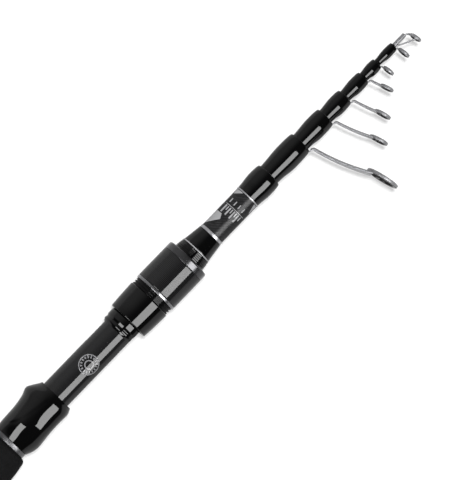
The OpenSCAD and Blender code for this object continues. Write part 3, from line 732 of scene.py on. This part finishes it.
def moving_hood():
    """Moving hood with a beaded nose, a swelling barrel, a neck and its key."""
    run = seat_r + RUN_GAP
    front = span("slip_ring")[0]
    bead_x, groove_x = mover_x0 + 1.4 * MM, mover_x0 + 2.8 * MM
    ridge_x0, ridge_x1 = mover_x0 + 4 * MM, mover_x0 + 6.8 * MM
    barrel_x = mover_x0 + 7.5 * MM
    nose_corners = [
        (mover_x0, run, 0),
        (mover_x0, NECK_R - 0.9 * MM, 0.1 * MM),
        (bead_x, NECK_R + 0.1 * MM, 1.4 * MM),
        (groove_x, NECK_R - 0.35 * MM, 0.8 * MM),
        (ridge_x0, NECK_R + 0.15 * MM, 0.8 * MM),
        (ridge_x1, NECK_R + 0.15 * MM, 0.5 * MM),
        (barrel_x, NECK_R - 0.3 * MM, 0),
        (barrel_x, run, 0),
    ]
    barrel_corners = [
        (barrel_x, run, 0),
        (barrel_x, mover_r - 0.7 * MM, 0.4 * MM),
        (barrel_x + 6 * MM, mover_r - 0.3 * MM, 3 * MM),
        (front - 0.5 * MM, mover_r, 0.5 * MM),
        (front, mover_r - 0.6 * MM, 0.2 * MM),
        (front, NECK_R, 0),
        (mover_x1, NECK_R, 0),
        (mover_x1, run, 0),
    ]

    def barrel_shape(x, r, angle):
        off = min(angle, TURN - angle)
        inside = r == run and x < moving_pocket_x
        return seat_r + POCKET_H if inside and off < POCKET_ANGLE / 2 else r

    barrel_outline = rounded(barrel_corners)
    barrel_outline += [(moving_pocket_x + STEP, run), (moving_pocket_x - STEP, run)]
    parts = [
        turned("sliding_hood", barrel_outline, sides=180, shape=barrel_shape),
        turned("sliding_hood_nose", rounded(nose_corners), sides=150, gap=POCKET_ANGLE),
        hood_key(front, run),
    ]
    place_joined(parts, "moving_hood")


def slip_ring(rings, depth, fillet):
    """Slip ring whose rings stand high and low by turns."""
    x0, x1, r = span("slip_ring")
    inner = NECK_R + GLUE
    pitch = (x1 - x0) / rings
    corners = [(x0, inner, 0)]
    for k in range(rings):
        height = r - depth * (k % 2)
        corners += [(x0 + k * pitch, height, fillet), (x0 + (k + 1) * pitch, height, fillet)]
    corners.append((x1, inner, 0))
    place(turned("grooved_slip_ring", rounded(corners, steps=3)), "slip_ring")


def nut_bezel():
    """Bezel that rounds down to the seat tube in front."""
    x0, x1, r = span("nut_bezel")
    outer = [(x0, r, 0.25 * MM), (x1, r, BEZEL_ROUND), (x1, r - BEZEL_DROP, 0.2 * MM)]
    sleeve("nut_grey_bezel", "nut_bezel", outer=outer, bore=seat_r + RUN_GAP, look=bezel_look)


def front_collar():
    """Humped collar with fine ribs round it, which fall towards the front."""
    x0, x1, r = span("front_collar")
    outer = [(x0, r - 0.3 * MM, 0.2 * MM)]
    pitch = (x1 - x0) / RIBS
    for k in range(RIBS):
        height = r - COLLAR_FALL * (k / (RIBS - 1)) ** 2
        start, end, dip = (x0 + k * pitch + share * pitch for share in RIB_SHARES)
        outer += [(start, height, RIB_FILLET), (end, height, RIB_FILLET)]
        outer.append((dip, height - RIB_GROOVE, 0.1 * MM))
    outer.append((x1, r - 0.6 * MM, 0))
    sleeve("ribbed_collar", "front_collar", outer=outer)


fixed_hood()
moving_hood()
slip_ring(rings=5, depth=0.5 * MM, fillet=0.15 * MM)
sleeve("nut_silver_ring", "nut_trim_ring", RING_FILLET, bore=core_r + GLUE, look=dark_chrome)
sleeve("nut_woven_sleeve", "nut_sleeve", fillet=0.5 * MM, bore=core_r + GLUE)
nut_bezel()
front_collar()


# End cap

cap_x0, cap_x1, cap_r = span("butt_cap")
CAP_FACE = 6 * MM
CAP_ROUND = 3 * MM
CAP_BEVEL = 0.3 * MM
# Ring groove in the cap's end: radii of its floor and of its lips, and its depth
GROOVE_FLOOR = (3.4 * MM, 4.6 * MM)
GROOVE_LIPS = (3 * MM, 5 * MM)
GROOVE_DEPTH = 0.3 * MM
SPIGOT_R = 4.59 * MM
CAP_PITCH = 1.5 * MM
CAP_THREAD_DEPTH = 0.4 * MM
FLUTES = 30
FLUTE_DEPTH = 0.25 * MM
FLUTE_SHARPNESS = 6
# Height of the fluted band, and the distances from the end over which the flutes deepen
FLUTE_BAND = 1.2 * MM
FLUTE_START = 1 * MM
FLUTE_FADE = 1.5 * MM
THREAD_RELIEF = 0.5 * MM
# Radius that stands for the axis in a closed outline
PIN_R = 0.02 * MM


def cap_shape(x, r, angle):
    """Thread of the spigot and flutes round the rim, which fade out towards the end."""
    if r == SPIGOT_R and x > CAP_FACE + THREAD_RELIEF:
        return r - thread_groove(x, angle, CAP_PITCH, CAP_THREAD_DEPTH)
    if r > cap_r - FLUTE_BAND:
        fade = ease((x - cap_x0 - FLUTE_START) / FLUTE_FADE)
        return r - FLUTE_DEPTH * fade * abs(math.cos(FLUTES * angle / 2)) ** FLUTE_SHARPNESS
    return r


def end_cap():
    """Cap with a rounded fluted rim, a ring groove in its end and a threaded spigot."""
    outline = [(cap_x0, PIN_R), (cap_x0, GROOVE_LIPS[0])]
    outline += [(cap_x0 + GROOVE_DEPTH, r) for r in GROOVE_FLOOR]
    outline.append((cap_x0, GROOVE_LIPS[1]))
    for a in range(0, 91, 10):
        angle = math.radians(a)
        x = cap_x0 + CAP_ROUND * (1 - math.cos(angle))
        outline.append((x, cap_r - CAP_ROUND * (1 - math.sin(angle))))
    outline += [(CAP_FACE - CAP_BEVEL, cap_r), (CAP_FACE, cap_r - CAP_BEVEL), (CAP_FACE, SPIGOT_R)]
    count = round((cap_x1 - CAP_FACE) / CAP_PITCH * STATIONS_PER_TURN)
    outline += [(CAP_FACE + (cap_x1 - CAP_FACE) * k / count, SPIGOT_R) for k in range(1, count + 1)]
    outline.append((cap_x1, PIN_R))
    place(turned("fluted_cap", outline, sides=240, shape=cap_shape), "butt_cap")


end_cap()


# Prints and badge

PRINT_LIFT = 0.03 * MM
PRINT_T = 0.05 * MM
_, label_x0, _ = span("front_trim_band")
label_x1, _, _ = span("label_trim_ring")
label_end = label_x1 - 0.3 * MM
# Heights on the label in millimetres over the rod's middle, and the share at which its wedge is deepest
BAR_HEIGHTS = (4.4, 1.9, -0.6, -3.1)
HALF_BAR_HEIGHTS = (3.15, 0.65, -1.85, -4.35)
WEDGE_TOP = 6.1
WEDGE_DEPTH = 4
WEDGE_RISE = 1.2
WEDGE_POINT = 0.7


def wrapped_print(name, x0, x1, edge_a, edge_b, look):
    """Thin print on the blank between two edges given as angles by the share of the length."""
    cols, rows = 24, 16
    points, faces = [], []
    for i in range(cols + 1):
        t = i / cols
        low, high = edge_a(t), edge_b(t)
        for j in range(rows + 1):
            points.append(on_rod(x0 + (x1 - x0) * t, blank_r + PRINT_LIFT, low + (high - low) * j / rows))
    for i in range(cols):
        for j in range(rows):
            a = i * (rows + 1) + j
            faces.append((a, a + 1, a + rows + 2, a + rows + 1))
    border = [i * (rows + 1) for i in range(cols + 1)]
    border += [cols * (rows + 1) + j for j in range(1, rows + 1)]
    border += [i * (rows + 1) + rows for i in range(cols - 1, -1, -1)]
    border += list(range(rows - 1, 0, -1))
    first = len(points)
    for index in border:
        spot = Vector(points[index])
        flat = Vector((0, spot.y, spot.z))
        points.append(spot - flat.normalized() * PRINT_T)
    for k in range(len(border)):
        h = (k + 1) % len(border)
        faces.append((border[k], border[h], first + h, first + k))
    attach(mesh_object(name, points, faces, sharp=50), "butt_blank", look)


def label_print(name, x0, x1, low, high):
    """Pale print between edges given in millimetres over the rod's middle, by the share of the length."""
    def edge(height):
        return lambda t: math.acos(-height(t) * MM / blank_r)

    wrapped_print(name, x0, x1, edge(low), edge(high), pale_print)


def label_bars(name, start, end, heights, thickness):
    """Row of plain bars across the label zone, from start to end in millimetres."""
    for k, y in enumerate(heights):
        label_print(
            f"{name}_{k + 1}", label_x0 + start * MM, label_x0 + end * MM,
            lambda t: y - thickness / 2, lambda t: y + thickness / 2,
        )


def wedge_edge(t):
    """Lower edge of the label's wedge, which falls and rises again in front."""
    fall = WEDGE_DEPTH * min(t / WEDGE_POINT, 1)
    rise = WEDGE_RISE * max(t - WEDGE_POINT, 0) / (1 - WEDGE_POINT)
    return WEDGE_TOP - fall + rise


label_print("label_wedge", label_x0 + 1.4 * MM, label_x0 + 9.4 * MM, wedge_edge, lambda t: 6.15)
label_print("label_corner_a", label_x1 - 3 * MM, label_end, lambda t: 5.6 - 3 * t, lambda t: 5.9)
label_print("label_corner_b", label_x1 - 5 * MM, label_end, lambda t: -5.9, lambda t: -5.7 + 1.1 * t)
label_bars("label_long_bar", 10, 14.2, BAR_HEIGHTS, thickness=0.7)
label_bars("label_half_bar", 12, 14.2, HALF_BAR_HEIGHTS, thickness=0.5)
label_bars("label_line", 14.6, 14.9, (0.0,), thickness=10.4)
label_bars("label_short_bar", 16, 18.2, BAR_HEIGHTS, thickness=0.5)

ACCENT_X = 138 * MM
ACCENT_LEN = 8 * MM
ACCENT_GAP = 1.2 * MM
# Edges of the slanted stripes in degrees at their rear, and how far they climb
ACCENT_LOW, ACCENT_HIGH, ACCENT_CLIMB = 72, 100, 8
accents = {"orange": (0.75, 0.16, 0.05), "green": (0.07, 0.5, 0.08), "pale": PALE_INK}
for k, (tint, color) in enumerate(accents.items()):
    start = ACCENT_X + k * (ACCENT_LEN + ACCENT_GAP)
    wrapped_print(
        f"accent_{tint}", start, start + ACCENT_LEN,
        lambda t: math.radians(ACCENT_LOW + ACCENT_CLIMB * t),
        lambda t: math.radians(ACCENT_HIGH + ACCENT_CLIMB * t),
        print_finish(f"ink_{tint}", color),
    )

# Badge: its place and tilt, its radius and the height of its sunk edges in millimetres, and its ticks
BADGE_X = 312.3 * MM
BADGE_TILT = math.radians(9)
BADGE_R = 5.0
BADGE_SUNK = -0.1
TICKS = 16
TICK_SHARE = 0.45


def bent(u, v, height):
    """Point of the badge at u along and v round the seat tube, at a height over it."""
    return on_rod(BADGE_X + u, seat_r + height, math.pi / 2 - BADGE_TILT + v / seat_r)


def badge_disc(name, stations, look=badge_ink, sides=96, shape=None):
    """Disc or ring of the badge through stations of radius and height in millimetres."""
    points = []
    for rho, height in stations:
        for j in range(sides):
            a = TURN * j / sides
            lift = shape(height, a) if shape else height
            points.append(bent(rho * MM * math.cos(a), rho * MM * math.sin(a), lift * MM))
    faces = ring_faces(len(stations), sides, closed=False)
    attach(mesh_object(name, points, faces, sharp=40), "seat_body", look)


def badge():
    """Round badge bent to the seat tube: a pale rim round a face with a ring of ticks and a hub ring."""
    rim = [
        (BADGE_R, BADGE_SUNK), (BADGE_R, 0.1), (BADGE_R - 0.12, 0.2),
        (BADGE_R - 0.38, 0.2), (BADGE_R - 0.5, 0.1), (BADGE_R - 0.5, BADGE_SUNK),
    ]
    face = [(BADGE_R - 0.45, 0.02), (BADGE_R * 0.5, 0.03), (0.02, 0.03)]
    scale = [
        (BADGE_R * 0.84, BADGE_SUNK), (BADGE_R * 0.83, 0.1), (BADGE_R * 0.7, 0.1),
        (BADGE_R * 0.62, 0.1), (BADGE_R * 0.61, BADGE_SUNK),
    ]
    hub = [
        (BADGE_R * 0.46, BADGE_SUNK), (BADGE_R * 0.45, 0.12),
        (BADGE_R * 0.33, 0.12), (BADGE_R * 0.32, BADGE_SUNK),
    ]

    def ticks(height, a):
        return height if (TICKS * a / TURN) % 1 < TICK_SHARE else BADGE_SUNK

    badge_disc("badge_rim", rim)
    badge_disc("badge_face", face, badge_print)
    badge_disc("badge_scale", scale, sides=192, shape=ticks)
    badge_disc("badge_hub", hub)


badge()


# Guides

eyes = {mount["name"]: mount for mount in frame["record"]["mounts"]}
HOLDER_HALF_W = 0.65 * MM
HOLDER_WALL = 0.55 * MM
HOLDER_FILLET = 0.3 * MM
BEAD_LIP = 0.2 * MM
# Share of a bead's thickness that rounds its bore
BEAD_SOFT = 0.45
EDGE_FILLET = 0.1 * MM
FOOT_T = 0.3 * MM
FOOT_LEN = 2 * MM
LEG_FLARE = 1.4
LEG_STEPS = 40
# First steps of the leg over which the thin foot thickens
FOOT_STEPS = 3
BEND_STEPS = 8
RUN_STEPS = 24
# Points round a leg's section, and powers below 1 that square it across and through
RIM_POINTS = 32
RIM_SQUARE_W = 0.25
RIM_SQUARE_T = 0.6
SHARE_STEP = 0.004
WIRE_R = 0.3 * MM

# Thickness, widths at foot and ring, run before the bend and bend radius in millimetres, bow in degrees,
# and the share of the ring's diameter that the leg reaches past its near edge
Leg = namedtuple("Leg", "thick root_w ring_w jog bend bow reach")
LEGS = {
    "guide_1": Leg(1.5, 3.0, 13.4, 0.9, 1.5, 9, 0.35),
    "guide_2": Leg(1.2, 2.4, 7.6, 0.8, 1.3, 6, 0.35),
    "guide_3": Leg(1.1, 2.0, 6.6, 0.7, 1.2, 4, 0.35),
    "guide_4": Leg(1.0, 1.8, 5.5, 0.6, 1.0, 3, 0.35),
    "float_guide_1": Leg(0.6, 1.4, 3.4, 0.1, 0.4, 1, 0.12),
    "float_guide_2": Leg(0.6, 1.4, 3.4, 0.1, 0.3, 1, 0.12),
}


def eye_ring(name, centre, ahead, outline, sides=96):
    """Closed outline of (distance along the eye's axis, radius) turned about that axis."""
    across = Vector((-ahead.y, ahead.x, 0))
    points = []
    for j in range(sides):
        angle = TURN * j / sides
        out = across * math.cos(angle) + Vector((0, 0, math.sin(angle)))
        points += [centre + ahead * z + out * r for z, r in outline]
    return mesh_object(name, points, ring_faces(sides, len(outline), closed=True))


def ring_section(half, inner, outer, inner_fillet, outer_fillet):
    """Outline of a ring of half width half between two radii."""
    return rounded([
        (-half, inner, inner_fillet), (half, inner, inner_fillet),
        (half, outer, outer_fillet), (-half, outer, outer_fillet),
    ])


def guide_ring(name):
    """Dark bead of a guide, in its node's place; gives the holder round it, its place and its radius."""
    eye = eyes[f"{name}_eye"]
    centre, ahead = Vector(eye["pos_m"]), Vector(eye["axis"])
    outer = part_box(f"{name}_frame")[1].z
    seat = outer - HOLDER_WALL
    bore = eye["dims"]["r_mm"] * MM
    bead = ring_section(HOLDER_HALF_W + BEAD_LIP, bore, seat - GLUE, BEAD_SOFT * (seat - bore), EDGE_FILLET)
    place(eye_ring(f"{name}_bead", centre, ahead, bead), f"{name}_ring")
    holder = ring_section(HOLDER_HALF_W, seat, outer, EDGE_FILLET, HOLDER_FILLET)
    return eye_ring(f"{name}_steel", centre, ahead, holder), centre, ahead, outer


def leg_line(x, r, end, leg):
    """Middle line of a stamped leg in the plane of the guides: foot, bend and bowed run to the ring."""
    bend = leg.bend * MM
    pivot = Vector((x + leg.jog * MM, -r - GLUE - leg.thick * MM / 2 - bend))
    lean = math.atan2(end.x - pivot.x - bend, pivot.y - end.y) - math.radians(leg.bow)
    root = pivot + bend * Vector((math.cos(lean), math.sin(lean)))
    middle = root + (end - root).length / 2 * Vector((math.sin(lean), -math.cos(lean)))
    line = [Vector((x - FOOT_LEN, -r - GLUE - FOOT_T / 2))]
    for k in range(BEND_STEPS + 1):
        angle = (math.pi / 2 - lean) * k / BEND_STEPS
        line.append(pivot + bend * Vector((math.sin(angle), math.cos(angle))))
    for k in range(1, RUN_STEPS + 1):
        t = k / RUN_STEPS
        line.append(root * (1 - t) ** 2 + middle * 2 * t * (1 - t) + end * t ** 2)
    return line


def stamped_guide(name, x, r):
    """Guide frame whose leg leaves its foot at x on radius r and widens to the ring holder."""
    holder, centre, ahead, outer = guide_ring(name)
    leg = LEGS[name]
    thick, root_w, ring_w = leg.thick * MM, leg.root_w * MM, leg.ring_w * MM
    back = Vector((-ahead.y, ahead.x))
    hub = centre.xy - ahead.xy * (HOLDER_HALF_W - thick / 2)
    line = leg_line(x, r, hub + back * outer * (1 - 2 * leg.reach), leg)

    def station(share):
        """Spot on the leg's line, its outward side and the half width there."""
        k = min(int(share * (len(line) - 1)), len(line) - 2)
        spot = line[k].lerp(line[k + 1], share * (len(line) - 1) - k)
        step = line[min(k + 2, len(line) - 1)] - line[max(k - 1, 0)]
        widening = min(max((spot.y + r) / (line[-1].y + r), 0), 1) ** LEG_FLARE
        return spot, Vector((-step.y, step.x)).normalized(), (root_w + (ring_w - root_w) * widening) / 2

    def last_share(w):
        """Share of the line at which the leg meets the holder, at a share w of its half width."""
        share = 1.0
        spot, _, half_w = station(share)
        while math.hypot((spot - hub).dot(back), w * half_w) < outer - HOLDER_WALL / 2:
            share -= SHARE_STEP
            spot, _, half_w = station(share)
        return share

    rim = []
    for j in range(RIM_POINTS):
        angle = TURN * j / RIM_POINTS
        c, v = math.cos(angle), math.sin(angle)
        w = math.copysign(abs(c) ** RIM_SQUARE_W, c)
        rim.append((w, math.copysign(abs(v) ** RIM_SQUARE_T, v), last_share(w)))
    sections = []
    for k in range(LEG_STEPS + 1):
        half_t = (FOOT_T + (thick - FOOT_T) * ease(k / FOOT_STEPS)) / 2
        section = []
        for w, lift, last in rim:
            spot, side, half_w = station(last * k / LEG_STEPS)
            flat = spot + side * lift * half_t
            section.append((flat.x, flat.y, w * half_w))
        sections.append(section)
    place_joined([holder, lofted(f"{name}_leg", sections)], f"{name}_frame")


def wire(name, start, end, bow, steps=16, sides=12):
    """Round wire from start to end that bows by a vector at its middle."""
    sections = []
    for k in range(steps + 1):
        t = k / steps
        spot = start.lerp(end, t) + bow * 4 * t * (1 - t)
        ahead = (end - start + bow * 4 * (1 - 2 * t)).normalized()
        across = ahead.cross((0, 0, 1)).normalized()
        up = across.cross(ahead)
        section = []
        for j in range(sides):
            angle = TURN * j / sides
            section.append(spot + (across * math.cos(angle) + up * math.sin(angle)) * WIRE_R)
        sections.append(section)
    return lofted(name, sections)


def tip_top(tube_len, tube_wall):
    """Tip-top: a tube on the tip, two bent wires to the top of its ring and two braces to its sides."""
    holder, centre, ahead, outer = guide_ring("tip_top")
    back = Vector((-ahead.y, ahead.x, 0))
    x0, tube_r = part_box("tip_top_frame")[0].x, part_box("tip_top_frame")[1].y
    x1 = x0 + tube_len
    inner = tube_r - tube_wall
    corners = [(x0, inner, 0), (x0, tube_r, 0.1 * MM), (x1, tube_r, 0.3 * MM), (x1, inner, 0)]
    parts = [holder, turned("tip_top_tube", rounded(corners))]
    # Station and angle on the tube, angle on the ring and bow of the wires and of the braces
    runs = (
        (x1 - 2 * WIRE_R, math.radians(90), math.radians(60), Vector((0.6, 0.5, 0)) * MM),
        (x0 + 2 * WIRE_R, math.radians(18), math.radians(105), Vector((-0.3, 0, 0)) * MM),
    )
    for x, turn, angle, bow in runs:
        for side in (-1, 1):
            start = Vector(on_rod(x, tube_r, turn * side))
            out = back * math.cos(angle) + Vector((0, 0, side * math.sin(angle)))
            end = centre + out * (outer - HOLDER_WALL / 2)
            parts.append(wire("tip_top_wire", start, end, bow))
    place_joined(parts, "tip_top_frame")


for name, (x, r) in feet.items():
    stamped_guide(name, x, r)
tip_top(tube_len=7 * MM, tube_wall=0.27 * MM)


# Remaining nodes keep their solids

for name, node in nodes.items():
    if not node.hide_render:
        node.data.materials.clear()
        node.data.materials.append(looks[slot_of[name]])


# Floor, light and camera

FLOOR_LEVEL = -13.35 * MM
FLOOR_REACH = 80
FLOOR_GLOW = 0.5
AMBIENT = 0.2
DARK = 0.04
SIDE_GLOW = 0.7
WHITE = (1, 1, 1, 1)
# Ranges of a direction's X, Y and Z over which the glow and the white horizon fade
GLOW_X = (-0.35, -0.05)
GLOW_Y = (-0.1, 0.9)
HORIZON_Z = (0.03, 0.16)
# Watts a square metre
GLOSS_POWER = 45.2
SIDEWAYS = (0, -0.63, 0.777)


def path_share(tree):
    """1 for camera, glossy and transmission rays."""
    path = add_node(tree, "LightPath", {}).outputs
    total = path["Is Camera Ray"]
    for name in ("Is Glossy Ray", "Is Transmission Ray"):
        total = add_node(tree, "Math", {0: total, 1: path[name]}, operation="MAXIMUM").outputs[0]
    return total


def pale_floor():
    """Pale floor that shows near white and keeps the rod's shadow."""
    made = Finish("pale_floor", {"Specular IOR Level": 0.0})
    made.color(made.noise(40 * MM), (0.49, 0.49, 0.49), (0.5, 0.5, 0.5))
    made.roughness(made.noise(60 * MM), low=0.85, high=0.95)
    glow = made.calc("MULTIPLY", path_share(made.tree), FLOOR_GLOW)
    light = made.node("Emission", {"Strength": glow})
    total = made.node("AddShader", {0: made.shader.outputs[0], 1: light.outputs[0]})
    made.tree.links.new(total.outputs[0], made.tree.nodes["Material Output"].inputs["Surface"])
    r, z = FLOOR_REACH, FLOOR_LEVEL
    corners = [(-r, -r, z), (r, -r, z), (r, r, z), (-r, r, z)]
    floor = mesh_object("studio_floor", corners, [(0, 1, 2, 3)])
    floor.data.materials.append(made.material)


def studio_world():
    """White near and under the horizon, else dark, with an even dim light for matt surfaces.

    A soft glow stands at +Y, and fades towards -X.
    """
    world = bpy.data.worlds.new("studio")
    scene.world = world
    world.use_nodes = True
    tree = world.node_tree

    def smooth(value, ends, low, high):
        inputs = {"Value": value, "From Min": ends[0], "From Max": ends[1], "To Min": low, "To Max": high}
        return add_node(tree, "MapRange", inputs, interpolation_type="SMOOTHSTEP").outputs[0]

    spot = add_node(tree, "TexCoord", {}).outputs["Generated"]
    split = add_node(tree, "SeparateXYZ", {0: spot}).outputs
    reach = smooth(split["X"], GLOW_X, DARK, SIDE_GLOW)
    glow = smooth(split["Y"], GLOW_Y, DARK, reach)
    seen = tree.nodes["Background"]
    seen.inputs["Color"].default_value = WHITE
    tree.links.new(smooth(split["Z"], HORIZON_Z, 1.0, glow), seen.inputs["Strength"])
    even = add_node(tree, "Background", {"Color": WHITE, "Strength": AMBIENT})
    mix = add_node(tree, "MixShader", {0: path_share(tree), 1: even.outputs[0], 2: seen.outputs[0]})
    tree.links.new(mix.outputs[0], tree.nodes["World Output"].inputs["Surface"])


def softbox(name, x, away, distance, length, width, power):
    """Area lamp that faces the rod at distance x along it, from the direction away."""
    lamp = bpy.data.lights.new(name, "AREA")
    lamp.shape = "RECTANGLE"
    lamp.size, lamp.size_y = length, width
    lamp.energy = power * length * width
    away = Vector(away).normalized()
    up = away.cross((1, 0, 0)).normalized()
    box = add_object(name, lamp)
    box.matrix_world = Matrix((up.cross(away), up, away)).transposed().to_4x4()
    box.location = Vector((x, 0, 0)) + away * distance
    box.visible_camera = False
    return box


def gloss_lamp(name, x, away, distance, length, width):
    """Softbox that only shows in glossy surfaces."""
    softbox(name, x, away, distance, length, width, GLOSS_POWER).visible_diffuse = False


def photo_camera(target, lean, distance, frame_height, up):
    """Camera over the rod, leaned towards the butt, with the photograph's upward direction."""
    lens = bpy.data.cameras.new("photo_camera")
    lens.lens = lens.sensor_width * distance / frame_height
    lens.clip_end = 200
    camera = add_object("photo_camera", lens)
    back = Vector((-math.sin(lean), 0, math.cos(lean)))
    right = up.cross(back).normalized()
    camera.matrix_world = Matrix((right, back.cross(right), back)).transposed().to_4x4()
    camera.location = target + back * distance
    scene.camera = camera


pale_floor()
studio_world()
gloss_lamp("gloss_softbox", x=0.382, away=SIDEWAYS, distance=0.5, length=0.304, width=0.35)
gloss_lamp("handle_softbox", x=0.09, away=SIDEWAYS, distance=0.15, length=0.2, width=0.105)
gloss_lamp("butt_softbox", x=0.267, away=(-0.39, 0.19, 0.9), distance=0.5, length=0.25, width=0.28)
top = softbox("top_softbox", x=0.4, away=(0.05, 0.03, 1), distance=8.0, length=1.0, width=1.0, power=660.0)
top.visible_glossy = False
photo_camera(
    target=Vector((0.3995, -0.0077, 0)), lean=math.radians(4.5), distance=1.7, frame_height=0.2234,
    up=Vector((0.72046, 0.6935, 0)),
)
scene.view_settings.view_transform = "Standard"
